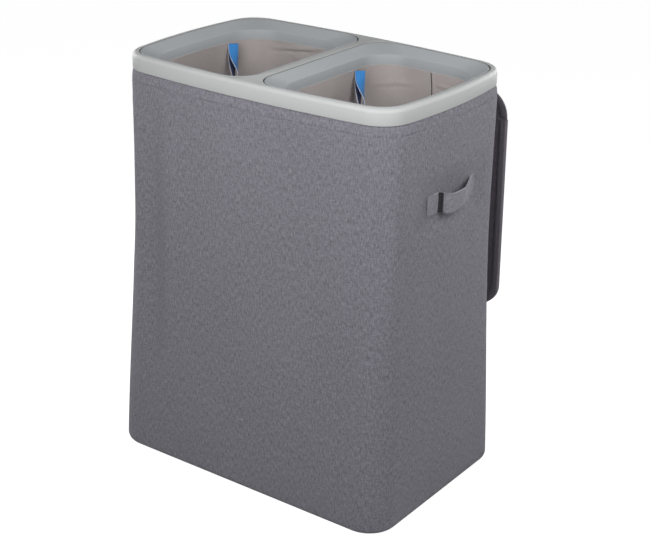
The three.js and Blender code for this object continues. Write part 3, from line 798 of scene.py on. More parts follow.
def webbing_material(name, value):
    """Webbing with pale edge threads, and navy painted shade from where it turns back behind itself."""
    material, tree, shader = new_material(name)
    place = coordinates(tree, "UV")
    reverse, selvedge = colours().reverse, colours().selvedge
    width, turn = sizes().strap_width, sizes().strap_length
    ribs = use_group(tree, "Webbing ribs", {"Vector": place, "Width": width, "Edge": 0.0007})
    # Painted shade and highlight: the colour is darker in the ribs' low places and lighter on their
    # crowns, with random tone added.
    tone = remap(tree, ribs["Height"], -0.8, 0.8, 0.0, 1.0)
    tone = sums(tree, "MULTIPLY_ADD", ribs["Tone"], 0.8, tone, clamp=True)
    base = blend_colour(tree, tone, shade_of(value, 0.62), shade_of(value, 1.2))
    navy_shade = blend_colour(tree, tone, shade_of(reverse, 0.62), shade_of(reverse, 1.2))
    # Painted shade: past the strap's length, where the webbing turns back, it takes the navy.
    down = split_axes(tree, place)[1]
    base = blend_colour(tree, remap(tree, down, turn, turn + 0.002, 0.0, 1.0), base, navy_shade)
    pale = blend_colour(tree, tone, shade_of(selvedge, 0.75), shade_of(selvedge, 1.1))
    base = blend_colour(tree, ribs["Selvedge"], base, pale)
    shader.inputs["Sheen Weight"].default_value = 0.2
    rough = remap(tree, tone, 0.0, 1.0, 0.72, 0.55)
    dress(tree, shader, base, rough, ribs["Height"], 0.00025)
    return material


def thread_material(name, value):
    """Twisted sewing thread, its twist read from the object's own coordinates."""
    material, tree, shader = new_material(name)
    twist = stretched_noise(tree, coordinates(tree, "Object"), (2600, 2600, 2600), 1, 0.5)
    base = blend_colour(tree, twist, shade_of(value, 0.7), shade_of(value, 1.2))
    dress(tree, shader, base, remap(tree, twist, 0.2, 0.8, 0.5, 0.7), twist, 0.00008)
    return material


def steel_material(name, value):
    material, tree, shader = new_material(name)
    place = coordinates(tree, "Object")
    grain = use_group(tree, "Moulded grain", {"Vector": place, "Size": 0.0016})
    drawn = stretched_noise(tree, place, (420, 420, 9), 3, 0.6)
    base = blend_colour(tree, drawn, shade_of(value, 0.88), shade_of(value, 1.08))
    rough = sums(tree, "MULTIPLY_ADD", grain["Rub"], 0.12, remap(tree, drawn, 0.2, 0.8, 0.3, 0.42))
    shader.inputs["Metallic"].default_value = 0.6
    shader.inputs["Coat Weight"].default_value = 0.3
    dress(tree, shader, base, rough, grain["Height"], 0.00004)
    return material


def board_material(name, value):
    """Pressed fibreboard: flecks and short fibres."""
    material, tree, shader = new_material(name)
    place = coordinates(tree, "Object")
    fibres = stretched_noise(tree, place, (260, 1400, 900), 3, 0.7)
    flecks = stretched_noise(tree, place, (900, 900, 900), 1, 0.5)
    base = blend_colour(tree, fibres, shade_of(value, 0.7), shade_of(value, 1.2))
    dark = remap(tree, flecks, 0.62, 0.72, 0.0, 0.5)
    base = blend_colour(tree, dark, base, shade_of(value, 0.45))
    dress(tree, shader, base, remap(tree, fibres, 0.2, 0.8, 0.85, 0.7), fibres, 0.00012)
    return material


# Finishes, each in the colour of the same name: (maker, the material's name, its settings)
FINISHES = {
    "rim": (moulded_material, "rim_plastic", 0.0006, 0.00004, 0.5, 0.725),
    "bin_frame": (moulded_material, "frame_plastic", 0.0006, 0.00004, 0.46, 0.724),
    "fitting": (moulded_material, "clip_plastic", 0.0011, 0.00005, 0.5),
    "tray": (moulded_material, "base_plastic", 0.0013, 0.00008, 0.58),
    "steel": (steel_material, "pole_steel"),
    "cover": (woven_material, "cover_fabric", 0.0007, 1.0, 0.5, 0.0003),
    "handle": (woven_material, "handle_fabric", 0.0007, 1.0, 0.45, 0.0003),
    "lining": (woven_material, "bag_fabric", 0.0004, 0.35, 0.18, 0.00012, 0.85, 0.1),
    "webbing": (webbing_material, "strap_webbing"),
    "lid": (woven_material, "lid_fabric", 0.0007, 0.9, 0.36, 0.00025),
    "binding": (woven_material, "binding_tape", 0.0005, 0.5, 0.25, 0.0002, 0.88),
    "thread": (thread_material, "cover_thread"),
    "dark_thread": (thread_material, "lid_thread"),
    "board": (board_material, "lid_board"),
}
MADE = {}


def finish_of(name):
    """A finish's material, made when it is first asked for."""
    if name not in MADE:
        maker, label, *settings = FINISHES[name]
        MADE[name] = maker(label, getattr(colours(), name), *settings)
    return MADE[name]


# The stage


def mix_by_ray(tree, result, seen, other):
    """One shader where the camera looks, straight or through glass, and another for other rays."""
    path = add(tree, "ShaderNodeLightPath").outputs
    direct = sums(tree, "MAXIMUM", path["Is Camera Ray"], path["Is Transmission Ray"])
    kinds = {0: direct, 1: other.outputs[0], 2: seen.outputs[0]}
    both = add(tree, "ShaderNodeMixShader", kinds)
    add(tree, result, {"Surface": both.outputs[0]})


class HAMPER_OT_stage(bpy.types.Operator):
    """Sets up the camera, the floor and the studio light"""

    bl_idname = "hamper.stage"
    bl_label = "Studio Stage"

    def execute(self, context):
        scene = context.scene
        scene.view_settings.view_transform = "Standard"
        self.place_camera(scene)
        self.lay_floor()
        self.light(scene)
        return {"FINISHED"}

    def place_camera(self, scene):
        turn, rise, roll = map(math.radians, (CAMERA_TURN, CAMERA_RISE, CAMERA_ROLL))
        level = Vector((math.sin(turn), -math.cos(turn), 0))
        back = level * math.cos(rise) + Vector((0, 0, math.sin(rise)))
        right = (-back).cross(Vector((0, 0, 1))).normalized()
        up = right.cross(-back)
        place = Vector(CAMERA_AIM) + back * CAMERA_DISTANCE + right * CAMERA_RIGHT + up * CAMERA_UP
        rolled = right * math.cos(roll) + up * math.sin(roll)
        upright = up * math.cos(roll) - right * math.sin(roll)
        deselect()
        bpy.ops.object.camera_add()
        camera = named("hamper_camera")
        camera.data.sensor_width = 36
        camera.data.lens = FOCAL_PIXELS / PHOTO_WIDTH * camera.data.sensor_width
        pose = Matrix((rolled, upright, back)).transposed().to_4x4()
        pose.translation = place
        camera.matrix_world = pose
        scene.camera = camera

    def lay_floor(self):
        deselect()
        bpy.ops.mesh.primitive_plane_add(size=9, location=(0, 0, -0.0003))
        floor = named("studio_floor")
        bpy.ops.object.transform_apply(location=True, rotation=True, scale=True)
        material = bpy.data.materials.new("studio_floor")
        material.use_nodes = True
        tree = material.node_tree
        tree.nodes.clear()
        matte = add(tree, "ShaderNodeBsdfDiffuse", {"Color": (0.6, 0.6, 0.6, 1)})
        pale = add(tree, "ShaderNodeBsdfDiffuse", {"Color": (0.3, 0.3, 0.3, 1)})
        lift = add(tree, "ShaderNodeEmission", {"Color": (1, 1, 1, 1), "Strength": 0.93})
        seen = add(tree, "ShaderNodeAddShader", {0: pale.outputs[0], 1: lift.outputs[0]})
        mix_by_ray(tree, "ShaderNodeOutputMaterial", seen, matte)
        floor.data.materials.append(material)

    def light(self, scene):
        world = bpy.data.worlds.new("studio")
        scene.world = world
        world.use_nodes = True
        tree = world.node_tree
        tree.nodes.clear()
        ambient = add(tree, "ShaderNodeBackground", {"Color": (0.98, 0.99, 1, 1), "Strength": 0.18})
        white = add(tree, "ShaderNodeBackground", {"Color": (1, 1, 1, 1), "Strength": 1.0})
        mix_by_ray(tree, "ShaderNodeOutputWorld", white, ambient)
        for name, place, aim, size, watts in LAMPS:
            deselect()
            bpy.ops.object.light_add(type="AREA", location=place)
            lamp = named(name)
            lamp.data.shape = "DISK"
            lamp.data.size = size
            lamp.data.energy = watts
            towards = Vector(aim) - Vector(place)
            lamp.rotation_euler = towards.to_track_quat("-Z", "Y").to_euler()


# Rim and bin frames: fixed measures in metres, and the number of ribs
RIM_WALL = 0.003
LEDGE_THICKNESS = 0.005
COLLAR_WALL = 0.0024
RIB_COUNT = 5
RIB_THICKNESS = 0.002
SOCKET_RADIUS = 0.0085
SOCKET_LENGTH = 0.026
SOCKET_WALL = 0.0022
POLE_INSET = 0.021
FRAME_LIP = 0.0014
FRAME_EDGE = 0.0007


class HAMPER_OT_rim(bpy.types.Operator):
    """Models the moulded rim with its two pockets, crossbar and pole sockets"""

    bl_idname = "hamper.rim"
    bl_label = "Moulded Rim"

    def execute(self, context):
        s = sizes()
        fine = steps_for(28, 20, 20)
        top, low, cut = s.height, band_low(), 0.001
        ledge_high = top - s.pocket_depth
        ledge_low = ledge_high - LEDGE_THICKNESS
        inside = top - RIM_WALL / 2
        rim = plate("rim_moulding", rim_ring(0, low, fine), top)
        self.round_top(rim, top, s.band_round)
        hollow = plate("hollow", rim_ring(RIM_WALL, low - cut, fine), top - RIM_WALL)
        combine(rim, hollow, "DIFFERENCE")
        for _, side in SIDES:
            radius = s.pocket_radius + COLLAR_WALL
            ring = bin_ring(side, s.lip_width - COLLAR_WALL, radius, ledge_low, fine)
            combine(rim, plate("collar", ring, inside), "UNION")
        self.add_ribs(rim, ledge_low, inside)
        for _, side in SIDES:
            inner, radius = s.lip_width + s.ledge_width, s.pocket_radius - s.ledge_width
            recess = bin_ring(side, s.lip_width, s.pocket_radius, ledge_high, fine)
            throat = bin_ring(side, inner, radius, ledge_low - cut, fine)
            combine(rim, plate("recess", recess, top + cut), "DIFFERENCE")
            combine(rim, plate("throat", throat, ledge_high + cut), "DIFFERENCE")
        self.add_sockets(rim, ledge_low)
        soften(rim, 0.0004, use_clamp_overlap=False)
        finish_piece(rim, finish_of("rim"), "hamper", "rim_plastic", "top_rim", smooth=32)
        return {"FINISHED"}

    def round_top(self, rim, top, radius):
        edit(rim, "EDGE")
        choose(rim, "edges", lambda edge: all(abs(end.co.z - top) < 1e-5 for end in edge.verts))
        bpy.ops.mesh.bevel(offset=radius, segments=6, profile=0.5, affect="EDGES")
        close_edit()

    def add_ribs(self, rim, low, high):
        s = sizes()
        size = (s.crossbar_width - COLLAR_WALL, RIB_THICKNESS, high - low)
        for rib in range(1, RIB_COUNT + 1):
            y = 2 * (s.depth / 2 - s.pocket_radius) * (rib / (RIB_COUNT + 1) - 0.5)
            middle = (0, y, (low + high) / 2)
            deselect()
            bpy.ops.mesh.primitive_cube_add(size=1, location=middle)
            cube = named("rib")
            edit(cube)
            bpy.ops.transform.resize(value=size, center_override=middle)
            close_edit()
            combine(rim, cube, "UNION")

    def add_sockets(self, rim, ledge_low):
        low = ledge_low - SOCKET_LENGTH
        height = SOCKET_LENGTH + PRESS_GAP
        bore = (0, 0, SOCKET_LENGTH - SOCKET_WALL)
        for x, y in pole_places():
            deselect()
            bpy.ops.mesh.primitive_cylinder_add(
                vertices=40, radius=SOCKET_RADIUS, depth=height, location=(x, y, low + height / 2)
            )
            boss = named("socket")
            edit(boss, "FACE")
            choose(boss, "faces", lambda face: face.normal.z < -0.9)
            bpy.ops.mesh.inset(thickness=SOCKET_WALL, depth=0)
            bpy.ops.mesh.extrude_region_move(TRANSFORM_OT_translate={"value": bore})
            close_edit()
            combine(rim, boss, "UNION")


def pole_places():
    """The four poles stand on the diagonals of the rim's corners."""
    reach = (sizes().corner_radius - POLE_INSET) * math.sqrt(0.5)
    x, y = (span + reach for span in straight_spans())
    return [(side * x, end * y) for side in (-1, 1) for end in (-1, 1)]


class HAMPER_OT_bin_frames(bpy.types.Operator):
    """Models the two funnel frames that sit in the rim's pockets"""

    bl_idname = "hamper.bin_frames"
    bl_label = "Bin Frames"

    def execute(self, context):
        s = sizes()
        fine = steps_for(26, 26, 18)
        inset = s.lip_width + s.groove_width
        top = s.height - 0.0002
        seat = s.height - s.pocket_depth + PRESS_GAP
        outer_radius = s.pocket_radius - s.groove_width
        lip, edge, wall = FRAME_LIP, FRAME_EDGE, s.frame_wall
        reach = s.flange_width + GROOVE - s.groove_width
        run_width = reach - lip
        thick = wall * math.hypot(1, s.flange_drop / run_width)

        def flange_z(run):
            return top - (top - mouth_top()) * (run - lip) / run_width

        def flange_radius(run):
            share = (run - lip) / run_width
            return (outer_radius - lip) * (1 - share) + s.mouth_radius * share

        for name, side in SIDES:
            def ring(run, radius, z):
                return bin_ring(side, inset + run, radius, z, fine)

            flange = [lip + run_width * step / 6 for step in range(6)]
            wall_run = reach - wall
            rings = [
                ring(0, outer_radius, seat),
                ring(0, outer_radius, top - edge),
                ring(edge, outer_radius - edge, top),
                *[ring(run, flange_radius(run), flange_z(run)) for run in flange],
                ring(reach, s.mouth_radius, mouth_top()),
                ring(reach, s.mouth_radius, mouth_low()),
                ring(wall_run, s.mouth_radius + wall, mouth_low()),
                ring(wall_run, s.mouth_radius + wall, flange_z(wall_run) - thick),
                ring(wall, flange_radius(wall), flange_z(wall) - thick),
                ring(wall, outer_radius - wall, seat),
            ]
            piece = swept_ring(f"{name}_funnel_frame", rings)
            soften(piece, 0.0005, segments=3, angle=28)
            finish_piece(piece, finish_of("bin_frame"), f"{name}_bin", "frame_plastic",
                         f"{name}_bin_frame", smooth=30)
        return {"FINISHED"}


# Cover: the cloth, and how far below the band its hem's crease and stitches run, in metres
COVER_CLOTH = 0.002
CREASE_DROP = 0.0188
STITCH_DROP = 0.0245

# Rows of the cover: (how far below the band a stretch ends, how many rows it has)
COVER_ROWS = ((0.062, 62), (0.024, 12), (0.014, 13), (0.0, 8))

# Upright folds of the cover: (place along the front, half width, depth, highest, lowest)
FRONT_FOLDS = (
    (-0.231, 0.014, 0.0046, 0.67, 0.10),
    (-0.196, 0.016, -0.0052, 0.66, 0.16),
    (-0.153, 0.020, 0.0040, 0.66, 0.22),
    (-0.030, 0.020, 0.0026, 0.64, 0.34),
    (0.196, 0.015, 0.0024, 0.62, 0.22),
    (0.222, 0.013, -0.0030, 0.66, 0.14),
)


def cover_lift(x, y, z):
    """How far the cover's cloth stands out from its plain form at a point."""
    s, c = sizes(), cloth()
    below = band_low() - z
    if below <= 0:
        return 0.0
    settled = math.exp(-below / 0.05)
    puff = c.cover_puff * (1 - math.exp(-below / 0.005)) * settled
    puff *= 1 + 0.35 * wander(x * 14, y * 14, 3.0)
    gather = c.cover_gather * math.exp(-below / 0.028) * wander(x * 105, y * 105, z * 16)
    ripple = wander(x * 19, y * 19, z * 62 + 4.0)
    gather += 1.3 * c.cover_gather * ripple * (1 - math.exp(-below / 0.006)) * settled
    line = CREASE_DROP + 0.0032 * wander(x * 11, y * 11, 7.0)
    depth = max(0.0, 0.5 + 1.3 * wander(x * 21, y * 21, 9.0))
    crease = -c.hem_crease * depth * bell(below - line, 0.0017)
    lip = 0.0006 * depth * bell(below - line + 0.004, 0.0028)
    drop = below / band_low()
    full = c.cover_fullness * math.sin(math.pi * min(1.0, drop) ** 0.45) ** 1.5
    fade = math.sin(math.pi * min(1.0, drop) ** 0.7)
    soft = wander(x * 13, y * 13, z * 1.3 + 2.0)
    soft += 0.45 * wander(x * 30, y * 30, z * 2.6 + 5.0)
    folds = c.cover_fold * 0.42 * fade * soft
    if y < 0:
        for place, half, fold, high, low in FRONT_FOLDS:
            span = (z - low) / (high - low)
            if 0 < span < 1:
                drift = 0.006 * wander(place * 9, z * 3, 1.0)
                folds += fold * bell(x - place - drift, half) * math.sin(math.pi * span) ** 0.6
    calm = 1.0
    if abs(x) > s.width / 2 - 0.03:
        calm = max(clip((abs(y) - 0.08) / 0.03), clip((abs(z - HANDLE_Z) - 0.024) / 0.03))
    if y > s.depth / 2 - 0.03 and abs(x) < 0.225:
        hinge = min(1.0, abs(z - HINGE_Z) / 0.02)
        return (puff + gather + crease + lip + full) * hinge * 0.3 + folds * hinge
    return puff + gather + crease + lip + (folds + full) * calm


def corner_fold(x, y, z):
    """The cover's shallow folds round its front corners."""
    drop = (band_low() - z) / band_low()
    if drop <= 0:
        return 0.0
    fade = math.sin(math.pi * min(1.0, drop / 0.5))
    span_x, span_y = straight_spans()
    share = math.atan2(y + span_y, abs(x) - span_x) / (-math.pi / 2)
    if not 0 < share < 1:
        return 0.0
    return 0.0024 * fade * math.sin(math.pi * share) ** 2 * math.sin(3 * math.pi * share)


def outward(ring):
    """The direction square to a ring's line at each of its points, in plan."""
    along = np.roll(ring, -1, axis=0) - np.roll(ring, 1, axis=0)
    normal = np.column_stack([along[:, 1], -along[:, 0], np.zeros(len(ring))])
    return normal / np.linalg.norm(normal, axis=1, keepdims=True)


class HAMPER_OT_cover(bpy.types.Operator):
    """Sews the cloth cover with its folds, hem crease, turned-under edge and hem stitches"""

    bl_idname = "hamper.cover"
    bl_label = "Cloth Cover"

    def cloth_ring(self, inset, z):
        ring = cover_ring(inset, z, self.steps)
        away = ring[:, :2] / np.linalg.norm(ring[:, :2], axis=1, keepdims=True)
        normal = outward(ring)
        share = 1.0 if inset == 0 else max(0.0, 1 - inset / BOTTOM_ROUND)
        for i, (x, y, _) in enumerate(ring.copy()):
            ring[i] += normal[i] * cover_lift(x, y, z) * share
            ring[i, :2] += away[i] * corner_fold(x, y, z)
        return ring

    def execute(self, context):
        self.steps = steps_for(92, 56, 17)
        band = band_low()
        rings = []
        for angle in TURN_UNDER * (1 - even(8)):
            inset = BOTTOM_ROUND * (1 - math.cos(angle))
            rings.append(self.cloth_ring(inset, BOTTOM_ROUND * (1 - math.sin(angle))))
        heights = [BOTTOM_ROUND]
        for below, count in COVER_ROWS:
            heights += list(np.linspace(heights[-1], band - below, count)[1:])
        heights += [band + 0.006, band + 0.015, sizes().height - HEM_INSET]
        rings += [self.cloth_ring(0.0, float(z)) for z in heights]
        piece = sheet_grid("cover_cloth", *around(rings))
        thicken(piece, COVER_CLOTH, -1)
        finish_piece(piece, finish_of("cover"), "hamper", "cover_fabric", "outer_cover", smooth=60)
        hem = self.sew_hem(band - STITCH_DROP)
        return {"FINISHED"}

    def sew_hem(self, z):
        ring = self.cloth_ring(0.0, z)
        normal = outward(ring)
        line = np.vstack([ring, ring[:1]]) + np.vstack([normal, normal[:1]]) * 0.00005
        places, directions = spaced(line, sizes().stitch_pitch)
        faces = [Vector((y, -x, 0)) for x, y, _ in directions]
        stitches = sew("cover_hem_stitches", list(zip(places, directions, faces)), 0.00032, 0.0029)
        return finish_piece(stitches, finish_of("thread"), "hamper", "cover_fabric")


# Bags: where the back wall begins, the cloth, how it swells, and the bottom's roundings, in metres
BACK_WALL_Y = 0.1
BAG_CLOTH = 0.0016
BAG_SAG = 0.003
BAG_BULGE = 0.006
BAG_BOTTOM_ROUND = 0.034
BAG_BOTTOM_RADIUS = 0.044

# Sharp creases in the bags' back walls: (start, end, height at start, at end, depth)
BAG_CREASES = {
    "left": ((-0.205, -0.085, 0.6745, 0.6885, 0.0032), (-0.16, -0.09, 0.662, 0.668, 0.0018)),
    "right": ((0.144, 0.205, 0.6690, 0.6660, 0.0030), (0.02, 0.11, 0.652, 0.662, 0.0014)),
}


def bag_lift(name, x, y, z, drop):
    """How far a bag's cloth swells out from its plain form at a point."""
    c = cloth()
    fade = 1 - math.exp(-drop / 0.035)
    fade *= 1.0 if drop < 0.9 else max(0.0, (1 - drop) / 0.1)
    seed = 11.0 if name == "left" else 4.0
    soft = wander(x * 10 + seed, y * 10, z * 3.5)
    soft += 0.5 * wander(x * 22, y * 22 + seed, z * 7)
    ridge = 1 - 2 * abs(wander(x * 24 + seed, y * 24, z * 20))
    small = wander(x * 60, y * 60 + seed, z * 42)
    lift = c.bag_fold * fade * soft + c.bag_wrinkle * fade * (0.55 * ridge + 0.3 * small)
    if y > BACK_WALL_Y:
        for start, end, low, high, depth in BAG_CREASES[name]:
            span = (x - start) / (end - start)
            if 0 < span < 1:
                away = z - (low + (high - low) * span)
                bite = depth * math.sin(math.pi * span) ** 0.7
                lift += bite * (bell(away, 0.0018) - 0.6 * bell(away - 0.0042, 0.003))
    return lift


class HAMPER_OT_bags(bpy.types.Operator):
    """Sews the two lining bags, which sag from the bin frames, and the upright seam down the right
    bag's back wall
    """

    bl_idname = "hamper.bags"
    bl_label = "Lining Bags"

    def bag_ring(self, name, side, z, extra=0.0):
        s = sizes()
        below = max(0.0, mouth_low() - PRESS_GAP - z)
        drop = min(1.0, below / (mouth_low() - s.bag_floor))
        tuck = (0.0012 + s.frame_wall) * math.exp(-below / 0.03) if below > 0 else 0.0
        wave = math.sin(math.pi * drop)
        mouth_inset = s.lip_width + GROOVE + s.flange_width
        hem = mouth_inset - s.frame_wall - PRESS_GAP
        inset = hem - BAG_CLOTH + tuck - BAG_SAG * wave + extra
        hem_radius = s.mouth_radius + mouth_inset - inset
        radius = hem_radius * (1 - drop) + BAG_BOTTOM_RADIUS * drop
        ring = bin_ring(side, inset, radius, z, self.steps[name], BAG_BULGE * wave)
        if below <= 0:
            return ring
        normal = outward(ring)
        for i, (x, y, _) in enumerate(ring.copy()):
            lift = bag_lift(name, x, y, z, drop)
            ring[i] += normal[i] * lift
            if name == "right" and y > BACK_WALL_Y:
                ring[i] -= normal[i] * self.seam_ridge(x, z)
        return ring

    def seam_x(self, z):
        return 0.138 + 0.0035 * wander(0.3, 0.2, z * 26)

    def seam_ridge(self, x, z):
        away = x - self.seam_x(z)
        return 0.0013 * bell(away - 0.0045, 0.0028) - 0.0022 * bell(away, 0.0016)

    def execute(self, context):
        s = sizes()
        plain = steps_for(38, 54, 16)
        dense = dict(plain, sides=list(plain["sides"]))
        middle = np.arange(0.42, 0.58, 0.006)
        dense["sides"][2] = np.unique(np.concatenate([even(38), middle]))
        self.steps = {"left": plain, "right": dense}
        mouth = mouth_low()
        heights = list(np.linspace(s.bag_floor + BAG_BOTTOM_ROUND, mouth - 0.06, 66))
        heights += list(np.linspace(mouth - 0.06, mouth - 0.0006, 18)[1:])
        heights += [mouth - PRESS_GAP, mouth + 0.005, mouth + 0.013]
        for name, side in SIDES:
            rings = []
            for angle in even(8) * math.pi / 2:
                z = s.bag_floor + BAG_BOTTOM_ROUND * (1 - math.cos(angle))
                inward = BAG_BOTTOM_ROUND * (1 - math.sin(angle))
                rings.append(self.bag_ring(name, side, float(z), float(inward)))
            low = rings[0]
            centre = low.mean(axis=0)
            flat = [centre + (low - centre) * share for share in (0.0, 0.2, 0.4, 0.6, 0.8, 0.93)]
            rings = flat + rings + [self.bag_ring(name, side, float(z)) for z in heights]
            piece = sheet_grid(f"{name}_lining", *around(rings))
            thicken(piece, BAG_CLOTH, -1)
            finish_piece(piece, finish_of("lining"), f"{name}_bin", "bag_fabric", f"{name}_bag",
                         smooth=70)
            seam = [self.overlock_seam_and_shade(mouth)] if name == "right" else []
        return {"FINISHED"}

    def overlock_seam_and_shade(self, mouth):
        """The overlocked seam down the back wall, seen from inside the bag: a real seam whose dark
        thread also stands in for the shade in its gap.
        """
        anchors = []
        for step, z in enumerate(np.arange(mouth - 0.0015, 0.12, -0.0016)):
            ring = self.bag_ring("right", 1, float(z))
            wall = ring[ring[:, 1] > BACK_WALL_Y]
            wall = wall[np.argsort(wall[:, 0])]
            x = self.seam_x(z)
            y = float(np.interp(x, wall[:, 0], wall[:, 1])) - 0.0027
            lean = 0.5 if step % 2 else -0.35
            anchors.append(((x, y, z), (1, 0, lean), (0, -1, 0)))
        stitches = sew("right_lining_overlock", anchors, 0.0008, 0.0034)
        return finish_piece(stitches, finish_of("dark_thread"), "right_bin", "bag_fabric")


# Straps: how far the upper end is turned, in degrees, and what the drawn webbing is narrower by
STRAP_TURN = 48
STRAP_PLAY = 0.0008


class HAMPER_OT_straps(bpy.types.Operator):
    """Sews the twisted webbing pull straps"""

    bl_idname = "hamper.straps"
    bl_label = "Pull Straps"

    def strap_rows(self, top, half):
        """The webbing goes down, turns back at its end and comes up again behind itself."""
        turned = math.radians(STRAP_TURN)
        first = np.array((math.sin(turned), math.cos(turned), 0))
        fall = np.array((0, 0, sizes().strap_length))

        def place(share, layer, swing=0.0):
            run = 1 - share
            below = min(1.0, run / (0.46, 0.64)[layer])
            facing = math.radians((86, 83)[layer] * ease(below) - STRAP_TURN)
            across = np.array((-math.sin(facing), math.cos(facing), 0))
            through = np.array((math.cos(facing), math.sin(facing), 0))
            gap = 0.0017 + 0.0036 * ease(min(1.0, run / 0.5))
            edge = top + first * (half - 0.003 * run) - fall * run
            back = gap * layer if not swing else gap / 2 * (1 - math.cos(swing))
            low = gap / 2 * math.sin(swing)
            centre = edge - across * half - through * back - np.array((0, 0, low))
            return centre, across, through

        rows = [place(share, 0) for share in np.linspace(1, 0, 41)]
        rows += [place(0, 0, swing) for swing in np.linspace(0, math.pi, 9)[1:-1]]
        return rows + [place(share, 1) for share in np.linspace(0, 1, 41)]

    def execute(self, context):
        s = sizes()
        joints = {j["name"]: j for j in frame["record"]["behaviour"]["joints"]}
        width = s.strap_width - STRAP_PLAY
        columns = np.linspace(-0.5, 0.5, 13) * width
        for name, _ in SIDES:
            rows = self.strap_rows(np.array(joints[f"{name}_strap_swing"]["pos_m"]), width / 2)
            run = run_lengths([centre for centre, _, _ in rows])
            table, uv = [], []
            for (centre, across, through), down in zip(rows, run):
                table.append([
                    centre + across * away + through * 0.0007 * math.cos(math.pi * away / s.strap_width)
                    for away in columns
                ])
                uv.append([(away, down) for away in columns])
            piece = sheet_grid(f"{name}_webbing_strap", table, uv)
            thicken(piece, 0.0013)
            soften(piece, 0.0003)
            finish_piece(piece, finish_of("webbing"), f"{name}_strap", "strap_webbing",
                         f"{name}_pull_strap", smooth=50)
        return {"FINISHED"}


def smooth_route(points, steps):
    """A uniform Catmull-Rom curve through points."""
    points = np.asarray(points, dtype=float)
    last = len(points) - 1
    line = []
    for step in range(steps + 1):
        at = last * step / steps
        index = min(int(at), last - 1)
        share = at - index
        start, end = points[index], points[index + 1]
        leave = (end - points[max(index - 1, 0)]) / 2
        arrive = (points[min(index + 2, last)] - start) / 2
        line.append(
            (2 * start - 2 * end + leave + arrive) * share**3
            + (3 * end - 3 * start - 2 * leave - arrive) * share**2 + leave * share + start
        )
    return np.array(line)


def cover_side(y, z):
    shape = cover_shape(0.0, z)
    return shape["right"] - shape["right_bow"] * (y / straight_spans()[1]) ** 2


# Handle parts: (place along the cover's end, distance from the cover)
HANDLE_ROUTES = {
    "front_patch": (
        (-0.068, 0.0015), (-0.055, 0.0015), (-0.0425, 0.0015), (-0.0372, 0.0017),
        (-0.0346, 0.0052), (-0.0336, 0.01),
    ),
    "loop": (
        (-0.033, 0.01), (-0.0315, 0.0152), (-0.0272, 0.0196), (-0.019, 0.0228), (-0.008, 0.0238),
        (0.012, 0.0216), (0.042, 0.01),
    ),
    "back_patch": ((0.0423, 0.01), (0.056, 0.003625), (0.06025, 0.0015), (0.072, 0.0015)),
}

# Places across a handle's band, closer together near its edges
BAND_COLUMNS = (0, 0.02, 0.05, 0.09, 0.14, 0.25, 0.38, 0.5, 0.62, 0.75, 0.86, 0.91, 0.95, 0.98, 1)

# Stitch lines from a part's lower to its upper edge: (place at the lower, at the upper)
CROSS_SEAMS = {
    "front_patch": (
        (-0.0655, -0.0655), (-0.0445, -0.0445), (-0.0655, -0.0445), (-0.0445, -0.0655),
    ),
    "loop": (),
    "back_patch": ((0.07, 0.07), (0.061, 0.061)),
}
SEAM_INSET = 0.003
SEAM_LIFT = 0.00125
PATCH_OFF = 0.0015
PATCH_BEND = (0.003, 0.0092)


def loop_lean(off, across, share):
    """How far a loop's lower edge leans in towards the cover."""
    return 0.24 * off * (1 - across) * math.sin(math.pi * share) ** 0.7


